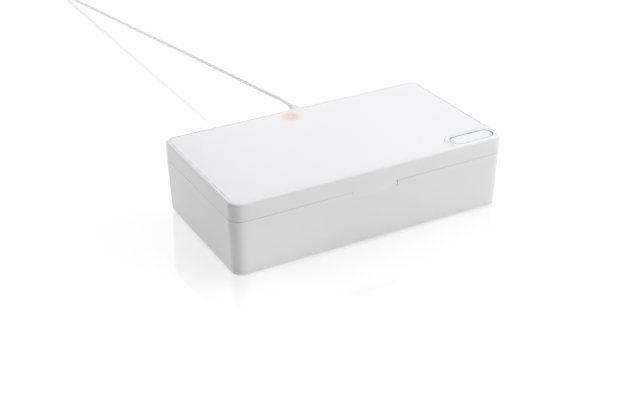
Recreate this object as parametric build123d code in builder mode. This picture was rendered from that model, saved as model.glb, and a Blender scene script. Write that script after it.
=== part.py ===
"""UV sanitizer box for phones, with a wireless charging lid.

Millimetres, +Z up. The origin is on the table under the middle of the box, +X runs along its
length to the right, and +Y to the rear, where the hinge and the charging lead are.
"""
import os
from math import pi, radians, tan

from build123d import *

# ---------------------------------------------------------------- driving sizes: the two housings
length = 220.0
width = 120.0
base_height = 42.0            # base housing, without its feet
lid_height = 13.0             # lid housing, from its lower edge to the pad
foot_proud = 0.8              # how far the feet stand out under the base
seam_gap = 0.2                # air between the closed lid and the base
corner_radius = 9.2           # upright corners, at the seam
draft = 1.7                   # the base narrows downwards, in degrees a side
wall = 2.0
floor_thickness = 2.2
top_edge_radius = 1.6
bottom_edge_radius = 1.0
seam_edge_radius = 0.25

# finger scoop in the front of the base, under the lid's edge
scoop_width = 36.0
scoop_height = 5.5
scoop_depth = 1.4
scoop_corner = 3.5
scoop_round = 0.8

# hinge along the rear edge
hinge_setback = 5.0           # axis in front of the rear face
hinge_rise = 6.3              # axis above the base's rim
hinge_from_end = 38.0         # middle of each knuckle from the end of the box
knuckle_width = 12.0
knuckle_radius = 4.0
arm_length = 9.0              # how far the knuckle's arm reaches down inside the base
lug_width = 5.0
lug_radius = 3.5
hinge_side_gap = 0.4
pin_radius = 2.0
pin_bore_clearance = 0.05     # the lid's lugs turn on the pins
pin_seat_clearance = 0.02     # the base's knuckles hold the pins
pin_overhang = 0.3            # how far a pin stands out of the outer lug
wire_way_radius = 1.2         # hollow of the left pin, for the lid's wires
wire_radius = 0.9
harness_drop = 8.0            # the base's wire starts this far under the power board's top
lid_wire_run = 8.0            # where the lid's wire drops to its connector, from the axis

# sanitizing chamber
chamber_end_margin = 12.0     # from the box's ends to the chamber's mouth
chamber_front_margin = 9.5
chamber_rear_margin = 15.0    # the hinge takes more room
chamber_depth = 29.8
chamber_radius = 10.0
chamber_draft = 3.0
liner_wall = 1.2
flange_clearance = 0.2
rail_count = 5
rail_width = 1.6
rail_height = 1.2
rail_pitch = 30.0
seal_offset = 2.5             # from the chamber's mouth to the seal
seal_width = 1.5
seal_depth = 0.6
seal_proud = 1.0
seal_clearance = 0.1

# charging pad, let into the lid
pad_margin = 2.75             # from the lid's edges to the groove round the pad
pad_gap = 0.2
pad_thickness = 1.6
pad_edge = 0.2
land_margin = 4.2             # the pad keeps this far from the button
land_fillet = 1.2
ledge_inset = 8.0             # the ledge under the pad ends here, from the lid's edges
ledge_thickness = 1.4

# power button
button_length = 34.8
button_width = 11.3
button_from_right = 22.7
button_from_front = 10.0
button_gap = 0.5
button_edge = 0.35
button_skin = 1.5
button_travel = 0.8
flange_reach = 1.25           # how far the button's retaining flange stands out
flange_thickness = 1.0
button_play = 0.3
bezel_width = 2.2
bezel_depth = 0.8
bezel_clearance = 0.1
deck_at_button = 2.0          # the lid's top wall round the button

# inner cover of the lid
cover_rise = 1.1              # its underside above the lid's lower edge
cover_thickness = 2.0
cover_clearance = 0.2
cover_field_margin = 13.0
cover_field_depth = 0.5
cover_field_slope = 45.0
hinge_window_side = 0.6       # air round the hinge's ears in the cover's windows
hinge_window_front = 0.8
hinge_window_corner = 1.0

# circuit boards and ultraviolet lamps
board_thickness = 1.6
board_corner = 2.0
board_foot_inset = 4.0        # from a board's edges to the middle of its feet
lamp_size = 3.5
lamp_height = 1.2
window_radius = 5.0
window_thickness = 0.8
window_hole_radius = 4.2
window_fit = 0.05
lamp_gap = 0.4
upper_board_from_end = 45.0    # from the box's end to the board's
upper_board_width = 13.0
upper_lamp_count = 4
upper_lamp_from_end = 11.0     # from the board's end to the middle of its last lamp
connector_side = 6.0
connector_height = 2.5
connector_from_end = 11.0
lower_board_from_end = 35.0
lower_board_width = 16.0
lower_foot_radius = 3.0
lower_foot_inset = 8.0
lower_lamp_count = 2
lower_lamp_from_end = 30.0
reflector_radius = 9.0
main_board_length = 56.0
main_board_width = 44.0
main_board_from_right = 5.5
main_board_from_front = 3.5
main_board_standoff = 2.0
board_foot_radius = 2.0
controller_side = 7.0
controller_offset = (-12.0, 6.0)
inductor_side = 8.0
inductor_corner = 1.5
inductor_offset = (6.0, 12.0)
capacitor_length = 2.0
capacitor_width = 1.2
capacitor_pitch = 4.0
capacitor_offset = (-14.0, -8.0)
chip_height = 1.4
chip_corner = 0.3
switch_size = 6.2
switch_corner = 0.5
switch_height = 2.0
switch_floor = 0.3
plunger_radius = 1.5
plunger_length = 1.8
plunger_clearance = 0.3
post_radius = 2.2

# wireless charging coil under the pad
coil_outer_radius = 22.0
coil_inner_radius = 10.0
coil_thickness = 1.2
coil_turns = 6
coil_groove = 0.3
ferrite_side = 48.0
ferrite_thickness = 1.0

# status light behind the pad
led_x = -9.7
led_from_rear = 12.5
light_pipe_radius = 3.0
light_pipe_length = 3.0
led_board_length = 12.0
led_board_width = 7.0
led_board_thickness = 1.0
small_board_corner = 1.0
led_foot_radius = 1.6
led_length = 3.5
led_width = 2.8
led_height = 1.0

# magnets and lid sensor
magnet_length = 10.0
magnet_width = 3.2
magnet_height = 3.0
magnet_to_board = 1.5         # between the lid's right magnet and the main board
magnet_from_front = 4.4
sensor_from_board_end = 13.5
sensor_set_back = 2.0         # behind the row of magnets
sensor_length = 4.0
sensor_width = 3.0
sensor_height = 1.5
sensor_magnet_radius = 1.6

# screws and their bosses
base_screw_from_end = 7.0
base_screw_from_front = 14.0
base_screw_from_rear = 16.0
base_boss_radius = 3.4
base_boss_height = 6.0
column_radius = 3.0
base_screw_radius = 1.2
base_screw_head_radius = 2.4
base_screw_length = 12.0
head_sink = 4.2               # from the base's underside to the seat of the screw head
screw_clearance = 0.1
cover_screw_radius = 0.95
cover_screw_head_radius = 1.9
cover_screw_length = 7.0
cover_boss_radius = 3.0
cover_screw_from_end = 8.5
cover_screw_from_front = 9.0
cover_screw_from_rear = 12.0
edge_screw_inset = 7.5        # the screws along the long edges, from the lid's side
front_screw_spread = 22.0
rear_screw_x = 12.0
cover_head_sink = 1.3
screw_head_height = 1.1

# feet
foot_radius = 6.0
foot_thickness = 1.6
foot_from_side = 18.0
foot_from_front = 16.0
foot_fit = 0.2
foot_edge = 0.4

# charging port and power board
port_x = 16.5
port_drop = 3.6               # middle of the port below the base's rim
port_length = 9.8
port_height = 4.1
socket_length = 8.94
socket_height = 3.26
socket_depth = 7.3
socket_skin = 0.3
socket_recess = 0.6
socket_back = 1.0
tongue_width = 6.6
tongue_thickness = 0.7
tongue_clearance = 0.3
power_board_length = 54.0
power_board_width = 10.0
power_board_gap = 1.0         # from the rear wall
charger_chip_side = 5.0
charger_chip_offset = 12.0
choke_side = 6.0
choke_offset = 13.0
charger_part_height = 1.2
bracket_spread = 19.0
bracket_width = 3.0
bracket_height = 8.0

# charging lead
plug_length = 8.25
plug_height = 2.4
plug_skin = 0.35
plug_insert = 5.6
plug_hollow = 5.0
overmould_gap = 0.9           # from the rear face to the plug's moulding
overmould_length = 30.5
overmould_straight = 16.0
overmould_width = 10.6
overmould_height = 6.2
overmould_tail_width = 8.6
overmould_tail_height = 5.4
overmould_roundness = 0.42    # corner radius as a share of the section's height
overmould_edge = 0.5
relief_length = 8.0
relief_step = 0.3
relief_end_radius = 2.0
lead_diameter = 3.0
lead_exit_run = 12.0          # straight out of the strain relief
coil_x = -4.0                 # middle of the put-away turns
coil_y = 607.0
coil_loop_radius = 18.0
coil_layers = 2
coil_corner = 1.4
tie_thickness = 0.5
tie_width = 8.0

# USB-A plug at the lead's far end
a_length = 26.0
a_width = 15.6
a_height = 7.6
a_corner = 2.2
a_front_edge = 0.6
a_rear_edge = 1.4
a_shell_length = 12.0
a_shell_width = 12.0
a_shell_height = 4.5
a_shell_skin = 0.35
a_shell_corner = 0.6
a_latch_length = 2.5
a_latch_width = 2.0
a_insert_thickness = 1.8
a_insert_recess = 1.0
a_relief_length = 9.0
a_relief_clearance = 0.3      # between the slanting lead's end and the relief
a_relief_root_radius = 3.0
a_relief_tip_radius = 2.1
a_reach = 22.0                # from the middle of the coil to the plug's strain relief

overshoot = 1.0               # how far a cut starts outside what it cuts

# ---------------------------------------------------------------- levels and places worked out
shell_z = foot_proud
seam_z = shell_z + base_height
lid_z = seam_z + seam_gap
top_z = lid_z + lid_height
base_floor_z = shell_z + floor_thickness
hinge_spread = length / 2 - hinge_from_end
hinge_y = width / 2 - hinge_setback
hinge_z = seam_z + hinge_rise
ears_width = knuckle_width + 2 * (hinge_side_gap + lug_width)
pin_length = ears_width + 2 * pin_overhang
roll_radius = hinge_z - lid_z
arm_foot_z = seam_z - arm_length
inner_y = width / 2 - wall
inner_x = length / 2 - wall

pad_z = top_z - pad_thickness
ledge_z = pad_z - ledge_thickness
button_x = length / 2 - button_from_right
button_y = -width / 2 + button_from_front
button_deck_z = top_z - deck_at_button
flange_top_z = button_deck_z - button_play
button_foot_z = flange_top_z - flange_thickness

cover_z = lid_z + cover_rise
cover_top_z = cover_z + cover_thickness
hinge_window_depth = inner_y - hinge_y + knuckle_radius + hinge_window_front
window_seat_z = cover_top_z - window_thickness
upper_board_z = cover_top_z + lamp_gap + lamp_height
main_board_z = cover_top_z + main_board_standoff
main_board_top_z = main_board_z + board_thickness
main_board_left = length / 2 - main_board_from_right - main_board_length
main_board_x = main_board_left + main_board_length / 2
main_board_y = -width / 2 + main_board_from_front + main_board_width / 2
upper_board_length = length - 2 * upper_board_from_end
upper_lamp_pitch = (upper_board_length - 2 * upper_lamp_from_end) / (upper_lamp_count - 1)
lower_board_length = length - 2 * lower_board_from_end
lower_lamp_pitch = (lower_board_length - 2 * lower_lamp_from_end) / (lower_lamp_count - 1)
connector_x = -upper_board_length / 2 + connector_from_end
led_y = width / 2 - led_from_rear
light_pipe_z = pad_z - light_pipe_length
led_board_z = light_pipe_z - button_play - led_height - led_board_thickness

chamber_length = length - 2 * chamber_end_margin
chamber_width = width - chamber_front_margin - chamber_rear_margin
chamber_y = (chamber_front_margin - chamber_rear_margin) / 2
flange_z = seam_z - liner_wall
chamber_floor_z = seam_z - chamber_depth
tub_bottom_z = chamber_floor_z - liner_wall
lower_board_z = tub_bottom_z - lamp_gap - lamp_height - board_thickness
magnet_y = -width / 2 + magnet_from_front
magnet_spread = main_board_left - magnet_to_board - magnet_length / 2
sensor_x = main_board_left + sensor_from_board_end
boss_top_z = base_floor_z + base_boss_height
scoop_back_y = -width / 2 + scoop_depth + wall
flange_x = inner_x - flange_clearance
flange_y = inner_y - flange_clearance

port_z = seam_z - port_drop
socket_mouth_y = width / 2 - socket_recess
socket_back_y = socket_mouth_y - socket_depth
plug_tip_y = socket_mouth_y - plug_insert
power_board_y = inner_y - power_board_gap - power_board_width / 2
power_board_z = port_z - socket_height / 2 - board_thickness
overmould_y = width / 2 + overmould_gap
tail_y = overmould_y + overmould_length
lead_start_y = tail_y + relief_length

foot_places = {
    "front_left": (-length / 2 + foot_from_side, -width / 2 + foot_from_front),
    "front_right": (length / 2 - foot_from_side, -width / 2 + foot_from_front),
    "rear_left": (-length / 2 + foot_from_side, width / 2 - foot_from_front),
    "rear_right": (length / 2 - foot_from_side, width / 2 - foot_from_front),
}
base_screw_places = [
    (side * (length / 2 - base_screw_from_end), y)
    for side in (-1, 1)
    for y in (-width / 2 + base_screw_from_front, width / 2 - base_screw_from_rear)
]
cover_screw_end = length / 2 - cover_screw_from_end
cover_screw_side = width / 2 - edge_screw_inset
cover_screw_places = [
    (-cover_screw_end, -width / 2 + cover_screw_from_front),
    (-cover_screw_end, width / 2 - cover_screw_from_rear),
    (cover_screw_end, width / 2 - cover_screw_from_rear),
    (-front_screw_spread, -cover_screw_side),
    (front_screw_spread, -cover_screw_side),
    (rear_screw_x, cover_screw_side),
]

os.makedirs("parts", exist_ok=True)


def row(count, pitch, y):
    """Places in a row along X, evenly about the middle of the box."""
    return [((step - (count - 1) / 2) * pitch, y) for step in range(count)]


upper_lamp_places = row(upper_lamp_count, upper_lamp_pitch, 0)
lower_lamp_places = row(lower_lamp_count, lower_lamp_pitch, chamber_y)


def save(piece, name):
    """Label a finished piece and write its STEP file."""
    piece.part.label = name
    export_step(piece.part, f"parts/{name}.step")


def pad_outline(z, inset):
    """Outline of the charging pad, cut round the button, a little inside its groove."""
    reach = land_margin + inset
    arc_x = button_x - button_length / 2 + button_width / 2
    land_top = button_y + button_width / 2 + reach
    edge_x = length / 2 - pad_margin - inset
    edge_y = -width / 2 + pad_margin + inset
    with BuildSketch(Plane.XY.offset(z)) as outline:
        RectangleRounded(2 * edge_x, -2 * edge_y, corner_radius - pad_margin - inset)
        with Locations((button_x, button_y)):
            SlotOverall(button_length + 2 * reach, button_width + 2 * reach, mode=Mode.SUBTRACT)
        with Locations((arc_x, land_top)):
            Rectangle(length, width, align=(Align.MIN, Align.MAX), mode=Mode.SUBTRACT)
        arc_start_x = arc_x - button_width / 2 - reach
        corners = [
            outline.vertices().sort_by_distance((arc_start_x, edge_y, z))[0],
            outline.vertices().sort_by_distance((edge_x, land_top, z))[0],
        ]
        fillet(corners, land_fillet)
    return outline.sketch


def stadium(z, grow, hole=None):
    """The button's outline, grown by a margin all round; a ring where a smaller one is cut out."""
    with BuildSketch(Plane.XY.offset(z)) as outline:
        with Locations((button_x, button_y)):
            SlotOverall(button_length + 2 * grow, button_width + 2 * grow)
            if hole is not None:
                SlotOverall(button_length + 2 * hole, button_width + 2 * hole, mode=Mode.SUBTRACT)
    return outline.sketch


def chamber_outline(z, grow, hole=None):
    """The chamber's mouth, grown by a margin all round; a ring where a smaller one is cut out."""
    with BuildSketch(Plane.XY.offset(z)) as outline:
        with Locations((0, chamber_y)):
            RectangleRounded(
                chamber_length + 2 * grow, chamber_width + 2 * grow, chamber_radius + grow
            )
            if hole is not None:
                RectangleRounded(
                    chamber_length + 2 * hole,
                    chamber_width + 2 * hole,
                    chamber_radius + hole,
                    mode=Mode.SUBTRACT,
                )
    return outline.sketch


def hinge_profile(x, radius, front, rear, far_z):
    """A hinge ear seen from the side: round about the axis, with a shank to far_z."""
    with BuildSketch(Plane.YZ.offset(x)) as profile:
        with Locations((hinge_y, hinge_z)):
            Circle(radius)
        with Locations(((front + rear) / 2, (hinge_z + far_z) / 2)):
            Rectangle(rear - front, abs(hinge_z - far_z))
    return profile.sketch


def slot_profile(x, y, z, size_x, size_z):
    """A stadium across the lead's plug, facing the rear."""
    with BuildSketch(Plane(origin=(x, y, z), x_dir=(1, 0, 0), z_dir=(0, -1, 0))) as profile:
        SlotOverall(size_x, size_z)
    return profile.sketch


# ---------------------------------------------------------------- base
# The scoop is deepest under the lid and runs out below, with round lower corners.
with BuildPart() as scoop:
    with BuildSketch(Plane.XZ.offset(width / 2 + overshoot)):
        with Locations((0, seam_z)):
            RectangleRounded(scoop_width, 2 * scoop_height, scoop_corner)
    extrude(amount=-(scoop_depth + overshoot))
    with BuildSketch(Plane.YZ.offset(-scoop_width)):
        with BuildLine():
            Polyline(
                (-width / 2 - overshoot, seam_z + overshoot),
                (-width / 2 + scoop_depth, seam_z + overshoot),
                (-width / 2 + scoop_depth, seam_z),
                (-width / 2, seam_z - scoop_height),
                (-width / 2 - overshoot, seam_z - scoop_height * (1 + overshoot / scoop_depth)),
                close=True,
            )
        make_face()
    extrude(amount=2 * scoop_width, mode=Mode.INTERSECT)
    slope = scoop.faces().filter_by(lambda face: 0.05 < -face.normal_at().Z < 0.95)[0]
    fillet(slope.edges().filter_by(Axis.X, reverse=True), scoop_round)

with BuildPart() as base_shell:
    with BuildSketch(Plane.XY.offset(seam_z)):
        RectangleRounded(length, width, corner_radius)
    extrude(amount=-base_height, taper=draft)
    fillet(base_shell.faces().sort_by(Axis.Z)[0].edges(), bottom_edge_radius)
    fillet(base_shell.faces().sort_by(Axis.Z)[-1].edges(), seam_edge_radius)
    with BuildSketch(Plane.XY.offset(seam_z)):
        RectangleRounded(2 * inner_x, 2 * inner_y, corner_radius - wall)
    extrude(amount=-(base_height - floor_thickness), taper=draft, mode=Mode.SUBTRACT)
    # thicker wall behind the finger scoop
    with BuildSketch(Plane.XY.offset(seam_z)):
        with Locations((0, scoop_back_y)):
            Rectangle(
                scoop_width + 2 * wall, scoop_depth + wall / 2, align=(Align.CENTER, Align.MAX)
            )
    extrude(amount=-(scoop_height + wall))
    add(scoop.part, mode=Mode.SUBTRACT)
    # arms that carry the hinge pins
    for side in (-1, 1):
        start = side * hinge_spread - knuckle_width / 2
        arm = hinge_profile(start, knuckle_radius, hinge_y - knuckle_radius, inner_y, arm_foot_z)
        extrude(arm, amount=knuckle_width)
        with BuildSketch(Plane.YZ.offset(start)):
            with Locations((hinge_y, hinge_z)):
                Circle(pin_radius + pin_seat_clearance)
        extrude(amount=knuckle_width, mode=Mode.SUBTRACT)
    # wire way up the left arm
    with BuildSketch(Plane.XY.offset(arm_foot_z)):
        with Locations((-hinge_spread, hinge_y)):
            Circle(wire_way_radius)
    extrude(amount=hinge_z - arm_foot_z, mode=Mode.SUBTRACT)
    # charging port
    with BuildSketch(Plane.XZ.offset(-(width / 2 + overshoot))):
        with Locations((port_x, port_z)):
            SlotOverall(port_length, port_height)
    extrude(amount=wall + 3 * overshoot, mode=Mode.SUBTRACT)
    # brackets under the power board
    for side in (-1, 1):
        with BuildSketch(Plane.YZ.offset(port_x + side * bracket_spread - bracket_width / 2)):
            with BuildLine():
                Polyline(
                    (inner_y + wall / 2, power_board_z),
                    (inner_y - power_board_width, power_board_z),
                    (inner_y - power_board_width, power_board_z - wall),
                    (inner_y, power_board_z - bracket_height),
                    (inner_y + wall / 2, power_board_z - bracket_height),
                    close=True,
                )
            make_face()
        extrude(amount=bracket_width)
    # standoffs of the lower lamp board
    with BuildSketch(Plane.XY.offset(base_floor_z)):
        with Locations((0, chamber_y)):
            with GridLocations(lower_board_length - 2 * lower_foot_inset, 0, 2, 1):
                Circle(lower_foot_radius)
    extrude(amount=lower_board_z - base_floor_z)
    # screw bosses, with sunk seats in the underside
    with BuildSketch(Plane.XY.offset(base_floor_z)):
        with Locations(*base_screw_places):
            Circle(base_boss_radius)
    extrude(amount=base_boss_height)
    with BuildSketch(Plane.XY.offset(shell_z)):
        with Locations(*base_screw_places):
            Circle(base_screw_radius + screw_clearance)
    extrude(amount=floor_thickness + base_boss_height, mode=Mode.SUBTRACT)
    with BuildSketch(Plane.XY.offset(shell_z)):
        with Locations(*base_screw_places):
            Circle(base_screw_head_radius + 2 * screw_clearance)
    extrude(amount=head_sink, mode=Mode.SUBTRACT)
    # seats of the feet
    with BuildSketch(Plane.XY.offset(shell_z)):
        with Locations(*foot_places.values()):
            Circle(foot_radius + foot_fit)
    extrude(amount=foot_thickness - foot_proud, mode=Mode.SUBTRACT)
save(base_shell, "base_shell")

with BuildPart() as chamber_liner:
    with BuildSketch(Plane.XY.offset(flange_z)):
        RectangleRounded(2 * flange_x, 2 * flange_y, corner_radius - wall - flange_clearance)
        # clear of the scoop's wall and of the hinge arms
        with Locations((0, -flange_y)):
            Rectangle(
                scoop_width + 2 * (wall + flange_clearance),
                2 * (scoop_back_y + flange_y + flange_clearance),
                mode=Mode.SUBTRACT,
            )
        with Locations((-hinge_spread, inner_y), (hinge_spread, inner_y)):
            Rectangle(
                knuckle_width + 2 * flange_clearance,
                2 * (inner_y - hinge_y + knuckle_radius + flange_clearance),
                mode=Mode.SUBTRACT,
            )
    extrude(amount=liner_wall)
    tub = chamber_outline(seam_z, liner_wall)
    extrude(tub, amount=-(chamber_depth + liner_wall), taper=chamber_draft)
    mouth = chamber_outline(seam_z, 0)
    extrude(mouth, amount=-chamber_depth, taper=chamber_draft, mode=Mode.SUBTRACT)
    # groove for the light seal
    groove = chamber_outline(
        seam_z, seal_offset + seal_width + seal_clearance, hole=seal_offset - seal_clearance
    )
    extrude(groove, amount=-seal_depth, mode=Mode.SUBTRACT)
    # rails that lift a phone off the floor
    rail_length = chamber_width - 2 * (chamber_radius + chamber_depth * tan(radians(chamber_draft)))
    with BuildSketch(Plane.XY.offset(chamber_floor_z)):
        with Locations((0, chamber_y)):
            with GridLocations(rail_pitch, 0, rail_count, 1):
                SlotOverall(rail_length, rail_width, rotation=90)
    extrude(amount=rail_height)
    # columns down to the base's screw bosses
    with BuildSketch(Plane.XY.offset(boss_top_z)):
        with Locations(*base_screw_places):
            Circle(column_radius)
    extrude(amount=flange_z - boss_top_z)
    with BuildSketch(Plane.XY.offset(boss_top_z)):
        with Locations(*base_screw_places):
            Circle(base_screw_radius + screw_clearance)
    extrude(amount=base_screw_length, mode=Mode.SUBTRACT)
    # lamp windows in the floor
    with BuildSketch(Plane.XY.offset(tub_bottom_z)):
        with Locations(*lower_lamp_places):
            Circle(window_hole_radius)
    extrude(amount=liner_wall, mode=Mode.SUBTRACT)
    with BuildSketch(Plane.XY.offset(chamber_floor_z)):
        with Locations(*lower_lamp_places):
            Circle(window_radius + window_fit)
    extrude(amount=-window_thickness, mode=Mode.SUBTRACT)
save(chamber_liner, "chamber_liner")

with BuildPart() as light_seal:
    ring = chamber_outline(seam_z - seal_depth, seal_offset + seal_width, hole=seal_offset)
    extrude(ring, amount=seal_depth + seal_proud)
    fillet(light_seal.faces().sort_by(Axis.Z)[-1].edges(), seal_width / 4)
save(light_seal, "light_seal")

for place, (x, y) in foot_places.items():
    with BuildPart() as foot:
        with BuildSketch(Plane.XY):
            with Locations((x, y)):
                Circle(foot_radius)
        extrude(amount=foot_thickness)
        fillet(foot.edges().sort_by(Axis.Z)[0], foot_edge)
    save(foot, f"foot_{place}")

with BuildPart() as base_screws:
    seat_z = shell_z + head_sink
    with BuildSketch(Plane.XY.offset(seat_z)):
        with Locations(*base_screw_places):
            Circle(base_screw_head_radius)
    extrude(amount=-screw_head_height)
    with BuildSketch(Plane.XY.offset(seat_z - screw_head_height)):
        with Locations(*base_screw_places):
            RegularPolygon(base_screw_radius, 6, rotation=30)
    extrude(amount=screw_head_height / 2, mode=Mode.SUBTRACT)
    with BuildSketch(Plane.XY.offset(seat_z)):
        with Locations(*base_screw_places):
            Circle(base_screw_radius)
    extrude(amount=base_screw_length)
save(base_screws, "base_screws")

for name, side, hollow in (("hinge_pin_left", -1, True), ("hinge_pin_right", 1, False)):
    with BuildPart() as hinge_pin:
        with BuildSketch(Plane.YZ.offset(side * hinge_spread - pin_length / 2)):
            with Locations((hinge_y, hinge_z)):
                Circle(pin_radius)
                if hollow:
                    Circle(wire_way_radius, mode=Mode.SUBTRACT)
        extrude(amount=pin_length)
        rims = hinge_pin.edges().filter_by(GeomType.CIRCLE).group_by(SortBy.RADIUS)[-1]
        chamfer(rims, pin_overhang)
        if hollow:
            with BuildSketch(Plane.XY.offset(hinge_z)):
                with Locations((side * hinge_spread, hinge_y)):
                    Circle(wire_way_radius + screw_clearance)
            extrude(amount=-knuckle_radius, mode=Mode.SUBTRACT)
    save(hinge_pin, name)

# A wire from the power board, up the left hinge arm and out along the hollow pin.
harness_foot_z = power_board_z + board_thickness - harness_drop
harness_end_x = -hinge_spread + pin_length / 2 + hinge_side_gap
with BuildPart() as base_harness:
    with BuildLine() as base_wire:
        FilletPolyline(
            (port_x - power_board_length / 2, hinge_y, harness_foot_z),
            (-hinge_spread, hinge_y, harness_foot_z),
            (-hinge_spread, hinge_y, hinge_z),
            (harness_end_x, hinge_y, hinge_z),
            radius=[wire_radius * 3, wire_radius * 1.1],
        )
    with BuildSketch(Plane(base_wire.line @ 0, z_dir=base_wire.line % 0)):
        Circle(wire_radius)
    sweep()
save(base_harness, "base_harness")

with BuildPart() as base_magnets:
    with BuildSketch(Plane.XY.offset(flange_z)):
        with Locations((-magnet_spread, magnet_y), (magnet_spread, magnet_y)):
            Rectangle(magnet_length, magnet_width)
    extrude(amount=-magnet_height)
    with BuildSketch(Plane.XY.offset(flange_z)):
        with Locations((sensor_x, magnet_y)):
            Circle(sensor_magnet_radius)
    extrude(amount=-magnet_height)
save(base_magnets, "base_magnets")

# ---------------------------------------------------------------- lower lamps
with BuildPart() as lower_lamp_board:
    with BuildSketch(Plane.XY.offset(lower_board_z)):
        with Locations((0, chamber_y)):
            RectangleRounded(lower_board_length, lower_board_width, board_corner)
    extrude(amount=board_thickness)
save(lower_lamp_board, "lower_lamp_board")

with BuildPart() as lower_lamps:
    with BuildSketch(Plane.XY.offset(lower_board_z + board_thickness)):
        with Locations(*lower_lamp_places):
            Rectangle(lamp_size, lamp_size)
    extrude(amount=lamp_height)
save(lower_lamps, "lower_uv_lamps")

with BuildPart() as lower_windows:
    with BuildSketch(Plane.XY.offset(chamber_floor_z)):
        with Locations(*lower_lamp_places):
            Circle(window_radius)
    extrude(amount=-window_thickness)
save(lower_windows, "lower_lamp_windows")

# ---------------------------------------------------------------- power board and port
with BuildPart() as power_board:
    with BuildSketch(Plane.XY.offset(power_board_z)):
        with Locations((port_x, power_board_y)):
            RectangleRounded(power_board_length, power_board_width, small_board_corner)
    extrude(amount=board_thickness)
    # charger chip and choke beside the socket
    with BuildSketch(Plane.XY.offset(power_board_z + board_thickness)):
        with Locations((port_x - charger_chip_offset, power_board_y)):
            Rectangle(charger_chip_side, charger_chip_side)
        with Locations((port_x + choke_offset, power_board_y)):
            RectangleRounded(choke_side, choke_side, small_board_corner)
    extrude(amount=charger_part_height)
save(power_board, "power_board")

with BuildPart() as usb_c_socket:
    shell = slot_profile(port_x, socket_mouth_y, port_z, socket_length, socket_height)
    extrude(shell, amount=socket_depth)
    skin = 2 * socket_skin
    mouth = slot_profile(
        port_x, socket_mouth_y, port_z, socket_length - skin, socket_height - skin
    )
    extrude(mouth, amount=socket_depth - socket_back, mode=Mode.SUBTRACT)
    tongue_y = socket_back_y + socket_back
    with BuildSketch(Plane.XZ.offset(-tongue_y)):
        with Locations((port_x, port_z)):
            Rectangle(tongue_width, tongue_thickness)
    extrude(amount=-(plug_tip_y + plug_hollow - tongue_clearance - tongue_y))
save(usb_c_socket, "usb_c_socket")

# ---------------------------------------------------------------- lid
# The rear lower edge of the lid is rolled about the hinge axis, so that it turns over the base.
with BuildPart() as roll:
    with BuildSketch(Plane.YZ.offset(-length)):
        with Locations((hinge_y, hinge_z)):
            Rectangle(2 * roll_radius, 2 * roll_radius, align=(Align.MIN, Align.MAX))
            Circle(roll_radius, mode=Mode.SUBTRACT)
    extrude(amount=2 * length)

lug_offset = knuckle_width / 2 + hinge_side_gap
with BuildPart() as lid_frame:
    with BuildSketch(Plane.XY.offset(lid_z)):
        RectangleRounded(length, width, corner_radius)
    extrude(amount=lid_height)
    fillet(lid_frame.faces().sort_by(Axis.Z)[-1].edges(), top_edge_radius)
    fillet(lid_frame.faces().sort_by(Axis.Z)[0].edges(), seam_edge_radius)
    with BuildSketch(Plane.XY.offset(lid_z)):
        RectangleRounded(2 * inner_x, 2 * inner_y, corner_radius - wall)
    extrude(amount=ledge_z - lid_z, mode=Mode.SUBTRACT)
    add(roll.part, mode=Mode.SUBTRACT)
    # seat of the pad, and the opening inside its ledge
    extrude(pad_outline(pad_z, -pad_gap / 2), amount=pad_thickness, mode=Mode.SUBTRACT)
    with BuildSketch(Plane.XY.offset(ledge_z)):
        RectangleRounded(length - 2 * ledge_inset, width - 2 * ledge_inset, ledge_inset / 2)
        add(stadium(ledge_z, land_margin + ledge_inset / 2), mode=Mode.SUBTRACT)
    extrude(amount=ledge_thickness, mode=Mode.SUBTRACT)
    # the button's hole, the seat of its bezel, and room for its flange underneath
    flange_room = stadium(ledge_z, flange_reach + button_gap)
    extrude(flange_room, amount=button_deck_z - ledge_z, mode=Mode.SUBTRACT)
    extrude(stadium(button_deck_z, button_gap), amount=deck_at_button, mode=Mode.SUBTRACT)
    bezel_seat = stadium(top_z, button_gap + bezel_width + bezel_clearance)
    extrude(bezel_seat, amount=-bezel_depth, mode=Mode.SUBTRACT)
    # slots for the base's hinge arms
    with BuildSketch(Plane.XY.offset(lid_z)):
        with Locations((-hinge_spread, width / 2), (hinge_spread, width / 2)):
            Rectangle(
                knuckle_width + 2 * hinge_side_gap,
                2 * (width / 2 - hinge_y + knuckle_radius + hinge_side_gap),
            )
    extrude(amount=hinge_z + knuckle_radius + hinge_side_gap - lid_z, mode=Mode.SUBTRACT)
    # lugs each side of the arms
    for side in (-1, 1):
        for start in (-lug_offset - lug_width, lug_offset):
            x = side * hinge_spread + start
            lug = hinge_profile(x, lug_radius, hinge_y - lug_radius, inner_y, pad_z)
            extrude(lug, amount=lug_width)
            with BuildSketch(Plane.YZ.offset(x)):
                with Locations((hinge_y, hinge_z)):
                    Circle(pin_radius + pin_bore_clearance)
            extrude(amount=lug_width, mode=Mode.SUBTRACT)
    # bosses for the screws of the inner cover
    with BuildSketch(Plane.XY.offset(cover_top_z)):
        with Locations(*cover_screw_places):
            Circle(cover_boss_radius)
    extrude(amount=pad_z - cover_top_z)
    with BuildSketch(Plane.XY.offset(cover_top_z)):
        with Locations(*cover_screw_places):
            Circle(cover_screw_radius + screw_clearance / 2)
    extrude(amount=cover_screw_length, mode=Mode.SUBTRACT)
save(lid_frame, "lid_frame")

with BuildPart() as charging_pad:
    extrude(pad_outline(pad_z, pad_gap / 2), amount=pad_thickness)
    fillet(charging_pad.faces().sort_by(Axis.Z)[-1].edges(), pad_edge)
save(charging_pad, "charging_pad")

with BuildPart() as button_bezel:
    extrude(stadium(top_z, button_gap + bezel_width, hole=button_gap), amount=-bezel_depth)
    fillet(button_bezel.faces().sort_by(Axis.Z)[-1].outer_wire().edges(), pad_edge)
save(button_bezel, "button_bezel")

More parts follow.
